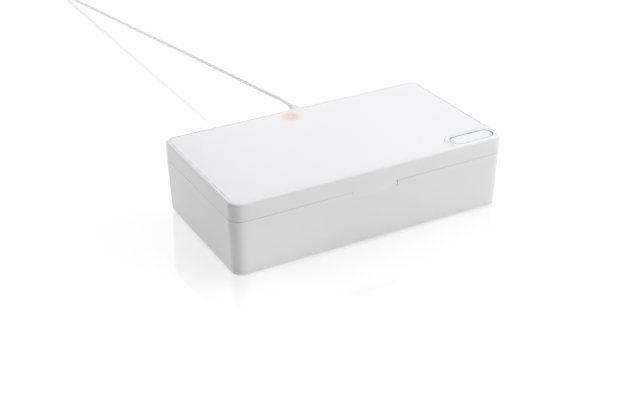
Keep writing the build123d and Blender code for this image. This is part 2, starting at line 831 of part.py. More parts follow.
with BuildPart() as inner_cover:
    with BuildSketch(Plane.XY.offset(cover_z)):
        RectangleRounded(
            2 * (inner_x - cover_clearance),
            2 * (inner_y - cover_clearance),
            corner_radius - wall - cover_clearance,
        )
        with Locations((-hinge_spread, inner_y), (hinge_spread, inner_y)):
            RectangleRounded(
                ears_width + 2 * hinge_window_side,
                2 * hinge_window_depth,
                hinge_window_corner,
                mode=Mode.SUBTRACT,
            )
    extrude(amount=cover_thickness)
    # sunk field that reflects the light, with a dish round each lamp
    with BuildSketch(Plane.XY.offset(cover_z)):
        with Locations((0, chamber_y)):
            RectangleRounded(
                length - 2 * cover_field_margin,
                chamber_width - 2 * liner_wall,
                chamber_radius,
            )
    extrude(amount=cover_field_depth, taper=cover_field_slope, mode=Mode.SUBTRACT)
    field_z = cover_z + cover_field_depth
    with Locations(*[(x, y, field_z) for x, y in upper_lamp_places]):
        Cone(
            reflector_radius,
            window_hole_radius,
            window_seat_z - field_z,
            align=(Align.CENTER, Align.CENTER, Align.MIN),
            mode=Mode.SUBTRACT,
        )
    with BuildSketch(Plane.XY.offset(window_seat_z)):
        with Locations(*upper_lamp_places):
            Circle(window_radius + window_fit)
    extrude(amount=window_thickness, mode=Mode.SUBTRACT)
    # screw holes with sunk seats
    with BuildSketch(Plane.XY.offset(cover_z)):
        with Locations(*cover_screw_places):
            Circle(cover_screw_head_radius + screw_clearance)
    extrude(amount=cover_head_sink, mode=Mode.SUBTRACT)
    with BuildSketch(Plane.XY.offset(cover_z)):
        with Locations(*cover_screw_places):
            Circle(cover_screw_radius + screw_clearance)
    extrude(amount=cover_thickness, mode=Mode.SUBTRACT)
save(inner_cover, "inner_cover")

with BuildPart() as cover_screws:
    head_z = cover_z + cover_head_sink
    with BuildSketch(Plane.XY.offset(head_z)):
        with Locations(*cover_screw_places):
            Circle(cover_screw_head_radius)
    extrude(amount=-screw_head_height)
    with BuildSketch(Plane.XY.offset(head_z - screw_head_height)):
        with Locations(*cover_screw_places):
            RegularPolygon(cover_screw_radius, 6)
    extrude(amount=screw_head_height / 2, mode=Mode.SUBTRACT)
    with BuildSketch(Plane.XY.offset(head_z)):
        with Locations(*cover_screw_places):
            Circle(cover_screw_radius)
    extrude(amount=cover_screw_length)
save(cover_screws, "cover_screws")

# ---------------------------------------------------------------- upper lamps
with BuildPart() as upper_lamp_board:
    with BuildSketch(Plane.XY.offset(upper_board_z)):
        RectangleRounded(upper_board_length, upper_board_width, board_corner)
    extrude(amount=board_thickness)
    # feet of the board, on the cover
    with BuildSketch(Plane.XY.offset(cover_top_z)):
        with GridLocations(upper_board_length - 2 * board_foot_inset, 0, 2, 1):
            Circle(board_foot_radius)
    extrude(amount=upper_board_z - cover_top_z)
    # connector of the lid's wires
    with BuildSketch(Plane.XY.offset(upper_board_z + board_thickness)):
        with Locations((connector_x, (upper_board_width - connector_side) / 2)):
            Rectangle(connector_side, connector_side)
    extrude(amount=connector_height)
save(upper_lamp_board, "upper_lamp_board")

with BuildPart() as upper_lamps:
    with BuildSketch(Plane.XY.offset(upper_board_z)):
        with Locations(*upper_lamp_places):
            Rectangle(lamp_size, lamp_size)
    extrude(amount=-lamp_height)
save(upper_lamps, "upper_uv_lamps")

with BuildPart() as upper_windows:
    with BuildSketch(Plane.XY.offset(window_seat_z)):
        with Locations(*upper_lamp_places):
            Circle(window_radius)
    extrude(amount=window_thickness)
save(upper_windows, "upper_lamp_windows")

# ---------------------------------------------------------------- main board, with its switch
with BuildPart() as main_board:
    with BuildSketch(Plane.XY.offset(main_board_z)):
        with Locations((main_board_x, main_board_y)):
            RectangleRounded(main_board_length, main_board_width, board_corner)
    extrude(amount=board_thickness)
    with BuildSketch(Plane.XY.offset(main_board_top_z)):
        with Locations((main_board_x, main_board_y)):
            with Locations(controller_offset):
                RectangleRounded(controller_side, controller_side, chip_corner)
            with Locations(inductor_offset):
                RectangleRounded(inductor_side, inductor_side, inductor_corner)
            with Locations(capacitor_offset):
                with GridLocations(capacitor_pitch, capacitor_pitch, 3, 2):
                    Rectangle(capacitor_length, capacitor_width)
    extrude(amount=chip_height)
    # feet of the board, on the cover
    with BuildSketch(Plane.XY.offset(cover_top_z)):
        with Locations((main_board_x, main_board_y)):
            foot_pitch_x = main_board_length - 2 * board_foot_inset
            foot_pitch_y = main_board_width - 2 * board_foot_inset
            with GridLocations(foot_pitch_x, foot_pitch_y, 2, 2):
                Circle(board_foot_radius)
    extrude(amount=main_board_standoff)
save(main_board, "main_board")

with BuildPart() as button_switch:
    with BuildSketch(Plane.XY.offset(main_board_top_z)):
        with Locations((button_x, button_y)):
            RectangleRounded(switch_size, switch_size, switch_corner)
    extrude(amount=switch_height)
    with BuildSketch(Plane.XY.offset(main_board_top_z + switch_height)):
        with Locations((button_x, button_y)):
            Circle(plunger_radius + plunger_clearance)
    extrude(amount=-(switch_height - switch_floor), mode=Mode.SUBTRACT)
save(button_switch, "button_switch")

with BuildPart() as lid_sensor:
    with BuildSketch(Plane.XY.offset(main_board_z)):
        with Locations((sensor_x, magnet_y + sensor_set_back)):
            Rectangle(sensor_length, sensor_width)
    extrude(amount=-sensor_height)
save(lid_sensor, "lid_sensor")

with BuildPart() as lid_magnets:
    with BuildSketch(Plane.XY.offset(cover_top_z)):
        with Locations((-magnet_spread, magnet_y), (magnet_spread, magnet_y)):
            Rectangle(magnet_length, magnet_width)
    extrude(amount=magnet_height)
save(lid_magnets, "lid_magnets")

# ---------------------------------------------------------------- wireless charging coil
with BuildPart() as charging_coil:
    pitch = (coil_outer_radius - coil_inner_radius) / coil_turns
    with BuildSketch(Plane.XY.offset(pad_z)):
        Circle(coil_outer_radius)
        Circle(coil_inner_radius, mode=Mode.SUBTRACT)
    extrude(amount=-coil_thickness)
    # grooves between the turns
    with BuildSketch(Plane.XY.offset(pad_z - coil_thickness)):
        for turn in range(1, coil_turns):
            Circle(coil_inner_radius + turn * pitch + coil_groove / 2)
            Circle(coil_inner_radius + turn * pitch - coil_groove / 2, mode=Mode.SUBTRACT)
    extrude(amount=coil_thickness / 3, mode=Mode.SUBTRACT)
save(charging_coil, "charging_coil")

with BuildPart() as ferrite_plate:
    with BuildSketch(Plane.XY.offset(pad_z - coil_thickness)):
        RectangleRounded(ferrite_side, ferrite_side, board_corner)
    extrude(amount=-ferrite_thickness)
save(ferrite_plate, "ferrite_plate")

# ---------------------------------------------------------------- status light
with BuildPart() as light_pipe:
    with BuildSketch(Plane.XY.offset(pad_z)):
        with Locations((led_x, led_y)):
            Circle(light_pipe_radius)
    extrude(amount=-light_pipe_length)
    chamfer(light_pipe.edges().sort_by(Axis.Z)[0], light_pipe_radius / 4)
save(light_pipe, "light_pipe")

with BuildPart() as status_led:
    with BuildSketch(Plane.XY.offset(led_board_z)):
        with Locations((led_x, led_y)):
            RectangleRounded(led_board_length, led_board_width, small_board_corner)
    extrude(amount=led_board_thickness)
    with BuildSketch(Plane.XY.offset(led_board_z + led_board_thickness)):
        with Locations((led_x, led_y)):
            Rectangle(led_length, led_width)
    extrude(amount=led_height)
    with BuildSketch(Plane.XY.offset(led_board_z)):
        with Locations((led_x, led_y)):
            with GridLocations(led_board_length - board_foot_inset, 0, 2, 1):
                Circle(led_foot_radius)
    extrude(amount=cover_top_z - led_board_z)
save(status_led, "status_led")

# The lid's wire starts on the hinge axis, beside the end of the hollow pin.
lid_wire_z = upper_board_z + board_thickness + connector_height / 2
with BuildPart() as lid_harness:
    with BuildLine() as lid_wire:
        FilletPolyline(
            (harness_end_x + seam_gap, hinge_y, hinge_z),
            (connector_x, hinge_y, hinge_z),
            (connector_x, hinge_y - lid_wire_run, lid_wire_z),
            (connector_x, upper_board_width / 2, lid_wire_z),
            radius=[wire_radius * 2, wire_radius * 3],
        )
    with BuildSketch(Plane(lid_wire.line @ 0, z_dir=lid_wire.line % 0)):
        Circle(wire_radius)
    sweep()
save(lid_harness, "lid_harness")

# ---------------------------------------------------------------- button
with BuildPart() as button:
    extrude(stadium(button_foot_z, flange_reach), amount=flange_thickness)
    extrude(stadium(button_foot_z, 0), amount=top_z - button_foot_z)
    fillet(button.faces().sort_by(Axis.Z)[-1].edges(), button_edge)
    # hollow underneath, with a post over the switch
    hollow = stadium(button_foot_z, -button_skin)
    extrude(hollow, amount=top_z - button_foot_z - button_skin, mode=Mode.SUBTRACT)
    with BuildSketch(Plane.XY.offset(button_foot_z)):
        with Locations((button_x, button_y)):
            Circle(post_radius)
    extrude(amount=top_z - button_foot_z - button_skin)
save(button, "button")

with BuildPart() as switch_plunger:
    with BuildSketch(Plane.XY.offset(button_foot_z)):
        with Locations((button_x, button_y)):
            Circle(plunger_radius)
    extrude(amount=-plunger_length)
save(switch_plunger, "switch_plunger")

# ---------------------------------------------------------------- charging lead
def plug_section(x, y, z, size_x, size_z):
    """A rounded section of the plug's moulding, across the lead."""
    with BuildSketch(Plane(origin=(x, y, z), x_dir=(1, 0, 0), z_dir=(0, -1, 0))) as section:
        RectangleRounded(size_x, size_z, size_z * overmould_roundness)
    return section.sketch


with BuildPart() as usb_c_plug:
    shell = slot_profile(port_x, overmould_y, port_z, plug_length, plug_height)
    extrude(shell, amount=overmould_y - plug_tip_y)
    mouth = slot_profile(
        port_x,
        plug_tip_y + plug_hollow,
        port_z,
        plug_length - 2 * plug_skin,
        plug_height - 2 * plug_skin,
    )
    extrude(mouth, amount=plug_hollow, mode=Mode.SUBTRACT)
save(usb_c_plug, "usb_c_plug")

with BuildPart() as usb_c_overmould:
    straight_y = overmould_y + overmould_straight
    body = plug_section(port_x, straight_y, port_z, overmould_width, overmould_height)
    extrude(body, amount=overmould_straight)
    fillet(usb_c_overmould.faces().sort_by(Axis.Y)[0].edges(), overmould_edge)
    tail = plug_section(port_x, tail_y, port_z, overmould_tail_width, overmould_tail_height)
    loft([body, tail])
    relief_foot = Plane(origin=(port_x, tail_y, port_z), x_dir=(1, 0, 0), z_dir=(0, 1, 0))
    with BuildSketch(relief_foot):
        Circle(overmould_tail_height / 2 - relief_step)
    with BuildSketch(relief_foot.offset(relief_length)):
        Circle(relief_end_radius)
    loft()
save(usb_c_overmould, "usb_c_overmould")

# Coil of the length that is put away, flat on the table behind the box.
layer_z = tie_thickness + lead_diameter / 2
coil_outer_run = coil_loop_radius + lead_diameter / 2
bundle = coil_layers * lead_diameter
bundle_z = tie_thickness + bundle / 2
lead_route = [
    (port_x, lead_start_y, port_z),
    (port_x, lead_start_y + lead_exit_run, port_z),
    (13.2, 130.0, 38.5),
    (10.6, 158.0, 36.6),
    (8.1, 190.0, 33.8),
    (-17.8, 520.0, 6.3),
    (-22.0, 573.0, 1.8),
    (coil_x - coil_outer_run, coil_y, layer_z),
]


def corner_radii(route):
    """The largest arc that fits at each corner of a route: 0.45 of its shorter run."""
    radii = []
    for before, corner, after in zip(route, route[1:], route[2:]):
        first = Vector(*corner) - Vector(*before)
        second = Vector(*after) - Vector(*corner)
        shorter = min(first.length, second.length)
        radii.append(0.45 * shorter / tan(radians(first.get_angle(second)) / 2))
    return radii


lead_radii = corner_radii(lead_route)
print("lead radii", [round(radius) for radius in lead_radii])
with BuildPart() as cable_lead:
    with BuildLine() as lead_line:
        FilletPolyline(*lead_route, radius=lead_radii)
    with BuildSketch(Plane(lead_line.line @ 0, z_dir=lead_line.line % 0)):
        Circle(lead_diameter / 2)
    sweep()
lead_length = lead_line.wire().length
print("lead length", round(lead_length, 1), "volume", round(cable_lead.part.volume, 1))
print("section times length", round(pi * lead_diameter**2 / 4 * lead_length, 1))
save(cable_lead, "cable_lead")

with BuildPart() as cable_coil:
    with BuildSketch(Plane(origin=(coil_x, coil_y, 0), x_dir=(1, 0, 0), z_dir=(0, -1, 0))):
        with Locations((coil_loop_radius, bundle_z)):
            RectangleRounded(bundle, bundle, coil_corner)
    revolve(axis=Axis((coil_x, coil_y, 0), (0, 0, 1)))
save(cable_coil, "cable_coil")

with BuildPart() as cable_tie:
    tie_y = coil_y + tie_width / 2
    tie_height = bundle + 2 * tie_thickness
    with BuildSketch(Plane(origin=(coil_x, tie_y, 0), x_dir=(1, 0, 0), z_dir=(0, -1, 0))):
        with Locations((coil_loop_radius, bundle_z)):
            RectangleRounded(tie_height + tie_thickness, tie_height, lead_diameter / 2)
    extrude(amount=tie_width)
    add(cable_coil.part, mode=Mode.SUBTRACT)
save(cable_tie, "cable_tie")

# ---------------------------------------------------------------- USB-A plug beside the coil
a_y = coil_y + coil_outer_run
a_relief_x = coil_x + a_reach
a_body_x = a_relief_x + a_relief_length
a_shell_x = a_body_x + a_length
a_z = a_height / 2
with BuildPart() as cable_tail:
    tail_start = Vector(coil_x + 2 * lead_diameter, a_y, layer_z + lead_diameter)
    tail_end = Vector(a_relief_x, a_y, a_z)
    with BuildSketch(Plane(tail_start, z_dir=tail_end - tail_start)):
        Circle(lead_diameter / 2)
    extrude(amount=(tail_end - tail_start).length)
save(cable_tail, "cable_tail")

with BuildPart() as usb_a_overmould:
    with BuildSketch(Plane.YZ.offset(a_body_x)):
        with Locations((a_y, a_z)):
            RectangleRounded(a_width, a_height, a_corner)
    extrude(amount=a_length)
    fillet(usb_a_overmould.faces().sort_by(Axis.X)[-1].edges(), a_front_edge)
    fillet(usb_a_overmould.faces().sort_by(Axis.X)[0].edges(), a_rear_edge)
    with BuildSketch(Plane.YZ.offset(a_body_x)):
        with Locations((a_y, a_z)):
            Circle(a_relief_root_radius)
    with BuildSketch(Plane.YZ.offset(a_relief_x + a_relief_clearance)):
        with Locations((a_y, a_z)):
            Circle(a_relief_tip_radius)
    loft()
save(usb_a_overmould, "usb_a_overmould")

with BuildPart() as usb_a_shell:
    with BuildSketch(Plane.YZ.offset(a_shell_x)):
        with Locations((a_y, a_z)):
            RectangleRounded(a_shell_width, a_shell_height, a_shell_corner)
            RectangleRounded(
                a_shell_width - 2 * a_shell_skin,
                a_shell_height - 2 * a_shell_skin,
                a_shell_corner - a_shell_skin,
                mode=Mode.SUBTRACT,
            )
    extrude(amount=a_shell_length)
    # latching windows in both broad sides
    with BuildSketch(Plane.XY):
        with Locations((a_shell_x + a_shell_length / 2, a_y)):
            with GridLocations(0, a_shell_width / 2, 1, 2):
                Rectangle(a_latch_length, a_latch_width)
    extrude(amount=a_height, mode=Mode.SUBTRACT)
save(usb_a_shell, "usb_a_shell")

with BuildPart() as usb_a_insert:
    with BuildSketch(Plane.YZ.offset(a_shell_x)):
        with Locations((a_y, a_z + a_shell_height / 2 - a_shell_skin - a_insert_thickness / 2)):
            Rectangle(a_shell_width - 4 * a_shell_skin, a_insert_thickness)
    extrude(amount=a_shell_length - a_insert_recess)
save(usb_a_insert, "usb_a_insert")
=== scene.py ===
"""Dresses the UV sanitizer box for phones, with its charging lead, light and camera.

Metres, +Z up. The origin is on the table under the middle of the box, +X runs along its length
to the right, and +Y to the rear, where the hinge and the charging lead are.
"""
from __future__ import annotations

import logging
import math
from collections.abc import Mapping
from dataclasses import dataclass
from enum import Enum
from functools import reduce
from typing import Any

import bpy
from mathutils import Matrix, Vector

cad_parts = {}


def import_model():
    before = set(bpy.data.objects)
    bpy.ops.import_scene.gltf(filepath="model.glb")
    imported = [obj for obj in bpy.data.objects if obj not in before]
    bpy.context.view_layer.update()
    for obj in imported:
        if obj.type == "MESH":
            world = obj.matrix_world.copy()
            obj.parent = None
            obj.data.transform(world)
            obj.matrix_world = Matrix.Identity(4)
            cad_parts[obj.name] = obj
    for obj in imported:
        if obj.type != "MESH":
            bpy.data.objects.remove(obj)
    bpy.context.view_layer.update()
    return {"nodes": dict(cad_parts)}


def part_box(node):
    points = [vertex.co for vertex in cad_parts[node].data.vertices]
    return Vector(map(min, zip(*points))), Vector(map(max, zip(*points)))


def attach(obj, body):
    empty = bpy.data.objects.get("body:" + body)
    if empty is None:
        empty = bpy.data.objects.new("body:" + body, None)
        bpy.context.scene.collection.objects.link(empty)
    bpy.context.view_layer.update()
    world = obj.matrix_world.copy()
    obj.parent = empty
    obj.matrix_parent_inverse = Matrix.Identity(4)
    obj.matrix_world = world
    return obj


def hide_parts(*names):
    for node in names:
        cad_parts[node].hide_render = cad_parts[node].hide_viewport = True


LOG = logging.getLogger("sanitizer_box")
MM = 0.001

Colour = tuple[float, float, float]
Point = tuple[float, float, float]
Place = tuple[float, float]
Span = tuple[float, float]
Sockets = Mapping[str | int, Any]

BLACK: Colour = (0.0, 0.0, 0.0)
WHITE: Colour = (1.0, 1.0, 1.0)


# ------------------------------------------------------------------------------ shader maths
@dataclass(frozen=True)
class Wire:
    """An output socket that takes part in sums as a number does."""

    recipe: Recipe
    socket: bpy.types.NodeSocket | None

    def _math(self, operation: str, first: Wire | float, second: Wire | float) -> Wire:
        """Adds a Math node on two numbers or wires."""
        return self.recipe.node("ShaderNodeMath", {"operation": operation}, {0: first, 1: second})

    def __add__(self, other: Wire | float) -> Wire:
        """Sum."""
        return self._math("ADD", self, other)

    __radd__ = __add__

    def __sub__(self, other: Wire | float) -> Wire:
        """Difference."""
        return self._math("SUBTRACT", self, other)

    def __rsub__(self, other: Wire | float) -> Wire:
        """Difference, with this wire taken away."""
        return self._math("SUBTRACT", other, self)

    def __mul__(self, other: Wire | float) -> Wire:
        """Product."""
        return self._math("MULTIPLY", self, other)

    __rmul__ = __mul__

    def __truediv__(self, other: Wire | float) -> Wire:
        """Quotient."""
        return self._math("DIVIDE", self, other)

    def __pow__(self, other: Wire | float) -> Wire:
        """Power."""
        return self._math("POWER", self, other)

    def highest(self, other: Wire | float) -> Wire:
        """The larger of the two."""
        return self._math("MAXIMUM", self, other)

    def lowest(self, other: Wire | float) -> Wire:
        """The smaller of the two."""
        return self._math("MINIMUM", self, other)

    def sine(self) -> Wire:
        """Sine of an angle in radians."""
        return self._math("SINE", self, 0.0)

    def size(self) -> Wire:
        """Value without its sign."""
        return self._math("ABSOLUTE", self, 0.0)

    def hypot(self, other: Wire) -> Wire:
        """Length of a flat vector that has this and the other as its parts."""
        return (self * self + other * other) ** 0.5

    def swing(self, spread: float) -> Wire:
        """Turns a value from 0 to 1 into one that spreads evenly about 0."""
        return (self - 0.5) * spread


class Detail(Enum):
    """How many octaves a noise has."""

    SOFT = 2.0
    FINE = 3.0
    FUZZY = 4.0


class Recipe:
    """Builds the nodes of one material or of the room."""

    def __init__(self, owner: bpy.types.Material | bpy.types.World) -> None:
        """Starts an empty tree.

        Args:
            owner: What the nodes are for.
        """
        owner.use_nodes = True
        self.tree = owner.node_tree
        self.tree.nodes.clear()

    def node(
        self,
        kind: str,
        settings: Mapping[str, Any] | None = None,
        sockets: Sockets | None = None,
        output: str | int = 0,
    ) -> Wire:
        """Adds a node: its settings first, then the values or links of its sockets.

        Args:
            kind: The node's type.
            settings: Its own settings, such as a Math node's operation or a ramp's stops.
            sockets: A value or a wire for each input, by name or place.
            output: The output that is wanted.

        Returns:
            That output as a wire, which is empty for a node that ends the tree.
        """
        made = self.tree.nodes.new(kind)
        for name, value in (settings or {}).items():
            if name == "stops":
                self._set_stops(made.color_ramp, value)
            else:
                setattr(made, name, value)
        for name, value in (sockets or {}).items():
            if isinstance(value, Wire):
                self.tree.links.new(value.socket, made.inputs[name])
            else:
                made.inputs[name].default_value = value
        return Wire(self, made.outputs[output] if made.outputs else None)

    @staticmethod
    def _set_stops(ramp: bpy.types.ColorRamp, stops: list[tuple[float, Colour]]) -> None:
        """Writes a colour ramp.

        Args:
            ramp: The ramp to fill.
            stops: Each stop's place and colour, from left to right.
        """
        while len(ramp.elements) < len(stops):
            ramp.elements.new(1.0)
        for element, (place, colour) in zip(ramp.elements, stops):
            element.position = place
            element.color = opaque(colour)

    def place(self) -> Wire:
        """The point on the surface, in the part's own metres."""
        return self.node("ShaderNodeTexCoord", output="Object")

    def axes(self, point: Wire) -> tuple[Wire, Wire, Wire]:
        """Splits a point into its three numbers.

        Args:
            point: A point or vector.

        Returns:
            Its X, Y and Z.
        """
        split = self.node("ShaderNodeSeparateXYZ", sockets={0: point})
        across, along, up = split.socket.node.outputs
        return Wire(self, across), Wire(self, along), Wire(self, up)

    def stretched(self, point: Wire, scale: Point) -> Wire:
        """A point with each of its numbers scaled, so that a texture runs along one axis."""
        return self.node("ShaderNodeVectorMath", {"operation": "MULTIPLY"}, {0: point, 1: scale})

    def noise(self, point: Wire, size: float, detail: Detail = Detail.SOFT) -> Wire:
        """Cloudy noise from 0 to 1, in patches of a size in metres."""
        sockets = {"Vector": point, "Scale": 1 / size, "Detail": detail.value}
        return self.node("ShaderNodeTexNoise", sockets=sockets)

    def beyond(self, value: Wire, low: float, high: float) -> Wire:
        """Rises smoothly from 0 at low to 1 at high."""
        sockets = {"Value": value, "From Min": low, "From Max": high}
        return self.node("ShaderNodeMapRange", {"interpolation_type": "SMOOTHSTEP"}, sockets)

    def within(self, value: Wire, low: float, high: float) -> Wire:
        """Falls smoothly from 1 at low to 0 at high."""
        return 1 - self.beyond(value, low, high)

    def blend(self, factor: Wire, first: Wire | Colour, second: Wire | Colour) -> Wire:
        """Mixes two colours or wires: factor 0 gives the first, and 1 the second."""
        sockets = {0: factor, 6: opaque(first), 7: opaque(second)}
        return self.node("ShaderNodeMix", {"data_type": "RGBA"}, sockets, output=2)

    def shaded(self, factor: Wire, colour: Colour, tones: Span) -> Wire:
        """A colour times the first tone where the factor is 0, and the second where it is 1."""
        first, second = (tuple(part * tone for part in colour) for tone in tones)
        return self.blend(factor, first, second)

    def relief(self, height: Wire, strength: float, distance: float) -> Wire:
        """Turns a height into a bumped normal, where a height of 1 is a distance in metres."""
        sockets = {"Strength": strength, "Distance": distance, "Height": height}
        return self.node("ShaderNodeBump", sockets=sockets)

    def mixed(self, share: Wire | float, first: Wire, second: Wire) -> Wire:
        """Mixes two shaders: share 0 gives the first, and 1 the second."""
        return self.node("ShaderNodeMixShader", sockets={0: share, 1: first, 2: second})

    def end(self, shader: Wire) -> None:
        """Links a shader to a material's output."""
        self.node("ShaderNodeOutputMaterial", sockets={"Surface": shader})


def opaque(colour: Wire | Colour) -> Wire | tuple[float, ...]:
    """A colour with its alpha, or a wire as it is."""
    return colour if isinstance(colour, Wire) else (*colour, 1.0)


# ------------------------------------------------------------------------------ finishes
@dataclass(frozen=True)
class Finish:
    """A finish that can dress any number of pieces.

    Sizes and depths are in metres. Tones are what a colour is multiplied by where its texture
    is lowest and highest. A haze is how far a texture spreads the roughness, a polish is how
    much of it a gilded place, a bare place or a line of painted shade loses, and the bump is the
    share of a relief that shows.
    """

    name: str

    def sockets(self, recipe: Recipe, place: Wire) -> Sockets:
        """The shader's values and links, at a place on the surface."""
        raise NotImplementedError

    def material(self) -> bpy.types.Material:
        """Builds the finish's material.

        Returns:
            The material.
        """
        made = bpy.data.materials.new(self.name)
        recipe = Recipe(made)
        sockets = self.sockets(recipe, recipe.place())
        recipe.end(recipe.node("ShaderNodeBsdfPrincipled", sockets=sockets))
        return made

    def dress(self, *pieces: bpy.types.Object) -> None:
        """Puts the finish on pieces.

        Args:
            pieces: Meshes or curves.
        """
        made = self.material()
        for piece in pieces:
            piece.data.materials.clear()
            piece.data.materials.append(made)


@dataclass(frozen=True)
class MouldedPlastic(Finish):
    """Injection-moulded plastic with a fine spark-eroded grain."""

    colour: Colour
    tones: Span = (0.985, 1.015)
    roughness: float = 0.42
    grain: float = 0.35 * MM
    grain_depth: float = 0.012 * MM
    grain_haze: float = 0.12
    cloud: float = 40 * MM
    cloud_haze: float = 0.05
    bump: float = 0.35

    def sockets(self, recipe: Recipe, place: Wire) -> Sockets:
        """Grain in the bump and the roughness, and a faint cloudiness in the colour.

        Args:
            recipe: The material's nodes.
            place: The point on the surface.

        Returns:
            The shader's values and links.
        """
        grain = recipe.noise(place, self.grain, Detail.FINE)
        cloud = recipe.noise(place, self.cloud)
        haze = grain.swing(self.grain_haze) + cloud.swing(self.cloud_haze)
        return {
            "Base Color": recipe.shaded(cloud, self.colour, self.tones),
            "Roughness": self.roughness + haze,
            "Normal": recipe.relief(grain, self.bump, self.grain_depth),
        }


@dataclass(frozen=True)
class LitPad(Finish):
    """Satin pad that a status light shines through, with the light's glow painted into its
    colour.
    """

    colour: Colour
    light_place: Place
    tones: Span = (0.99, 1.01)
    # Painted light: the glow's colours at its middle and at its edge, painted into the pad's
    # colour.
    painted_glow_core: Colour = (0.96, 0.67, 0.51)
    painted_glow_ring: Colour = (0.74, 0.49, 0.4)
    core_to_ring: Span = (0.04, 0.22)
    light_colour: Colour = (1.0, 0.4, 0.2)
    strength: float = 0.03
    halo: float = 9.5 * MM
    fade: float = 0.7
    blotch: float = 2.2 * MM
    blotch_reach: float = 0.14
    roughness: float = 0.36
    grain: float = 0.28 * MM
    grain_depth: float = 0.008 * MM
    grain_haze: float = 0.1
    cloud: float = 60 * MM
    bump: float = 0.3

    def sockets(self, recipe: Recipe, place: Wire) -> Sockets:
        """Fine satin grain, and the status light's glow fading from the light outwards: an orange
        spot painted into the colour, and a faint emission.

        Args:
            recipe: The material's nodes.
            place: The point on the surface.

        Returns:
            The shader's values and links.
        """
        grain = recipe.noise(place, self.grain, Detail.FINE)
        cloud = recipe.noise(place, self.cloud)
        across, along, _ = recipe.axes(place)
        away = (across - self.light_place[0]).hypot(along - self.light_place[1])
        blotch = recipe.noise(place, self.blotch).swing(self.blotch_reach)
        reach = away / self.halo + blotch
        # Painted light: the status light's glow painted into the pad's base colour, from the core
        # out to the ring.
        stops = list(zip(self.core_to_ring, (self.painted_glow_core, self.painted_glow_ring)))
        painted_glow = recipe.node("ShaderNodeValToRGB", {"stops": stops}, {"Fac": reach})
        spot = recipe.within(reach, 0.0, 1.0) ** self.fade
        return {
            "Base Color": recipe.blend(spot, recipe.shaded(cloud, self.colour, self.tones), painted_glow),
            "Roughness": self.roughness + grain.swing(self.grain_haze),
            "Emission Color": recipe.blend(spot, BLACK, self.light_colour),
            "Emission Strength": self.strength,
            "Normal": recipe.relief(grain, self.bump, self.grain_depth),
        }


@dataclass(frozen=True)
class Metal(Finish):
    """Plated or ground metal with fine tool marks."""

    colour: Colour
    tones: Span = (0.9, 1.06)
    roughness: float = 0.28
    run: Point = (1.0, 1.0, 1.0)
    mark: float = 0.25 * MM
    mark_depth: float = 0.01 * MM
    mark_haze: float = 0.14
    stain: float = 6 * MM
    stain_haze: float = 0.08
    bump: float = 0.25

    def sockets(self, recipe: Recipe, place: Wire) -> Sockets:
        """Marks stretched along the way the tool went, with small stains in the plating.

        Args:
            recipe: The material's nodes.
            place: The point on the surface.

        Returns:
            The shader's values and links.
        """
        marks = recipe.noise(recipe.stretched(place, self.run), self.mark, Detail.FINE)
        stain = recipe.noise(place, self.stain, Detail.FINE)
        haze = marks.swing(self.mark_haze) + stain.swing(self.stain_haze)
        return {
            "Base Color": recipe.shaded(stain, self.colour, self.tones),
            "Metallic": 1.0,
            "Roughness": self.roughness + haze,
            "Normal": recipe.relief(marks, self.bump, self.mark_depth),
        }


@dataclass(frozen=True)
class Metallised(Finish):
    """Moulding with a thin bright metal film that follows its gentle waviness."""

    colour: Colour
    tones: Span = (0.95, 1.03)
    metal: float = 0.9
    roughness: float = 0.2
    ripple: float = 14 * MM
    ripple_haze: float = 0.12
    ripple_height: float = 0.8
    peel: float = 0.9 * MM
    peel_haze: float = 0.06
    peel_height: float = 0.2
    depth: float = 0.05 * MM
    bump: float = 0.3

    def sockets(self, recipe: Recipe, place: Wire) -> Sockets:
        """Slow ripples, a fine orange peel and a haze that comes and goes.

        Args:
            recipe: The material's nodes.
            place: The point on the surface.

        Returns:
            The shader's values and links.
        """
        ripple = recipe.noise(place, self.ripple)
        peel = recipe.noise(place, self.peel)
        haze = ripple.swing(self.ripple_haze) + peel.swing(self.peel_haze)
        height = ripple * self.ripple_height + peel * self.peel_height
        return {
            "Base Color": recipe.shaded(ripple, self.colour, self.tones),
            "Metallic": self.metal,
            "Roughness": self.roughness + haze,
            "Normal": recipe.relief(height, self.bump, self.depth),
        }


@dataclass(frozen=True)
class SoftRubber(Finish):
    """Silicone or rubber: matt, with a powdery bloom."""

    colour: Colour
    tones: Span = (1.0, 1.07)
    roughness: float = 0.62
    pore: float = 0.22 * MM
    pore_depth: float = 0.02 * MM
    bloom: float = 3.5 * MM
    bloom_haze: float = 0.16
    bump: float = 0.4

    def sockets(self, recipe: Recipe, place: Wire) -> Sockets:
        """Fine pores and a lighter bloom in patches.

        Args:
            recipe: The material's nodes.
            place: The point on the surface.

        Returns:
            The shader's values and links.
        """
        pores = recipe.noise(place, self.pore, Detail.FINE)
        bloom = recipe.noise(place, self.bloom, Detail.FINE)
        return {
            "Base Color": recipe.shaded(bloom, self.colour, self.tones),
            "Roughness": self.roughness + bloom.swing(self.bloom_haze),
            "Normal": recipe.relief(pores, self.bump, self.pore_depth),
        }


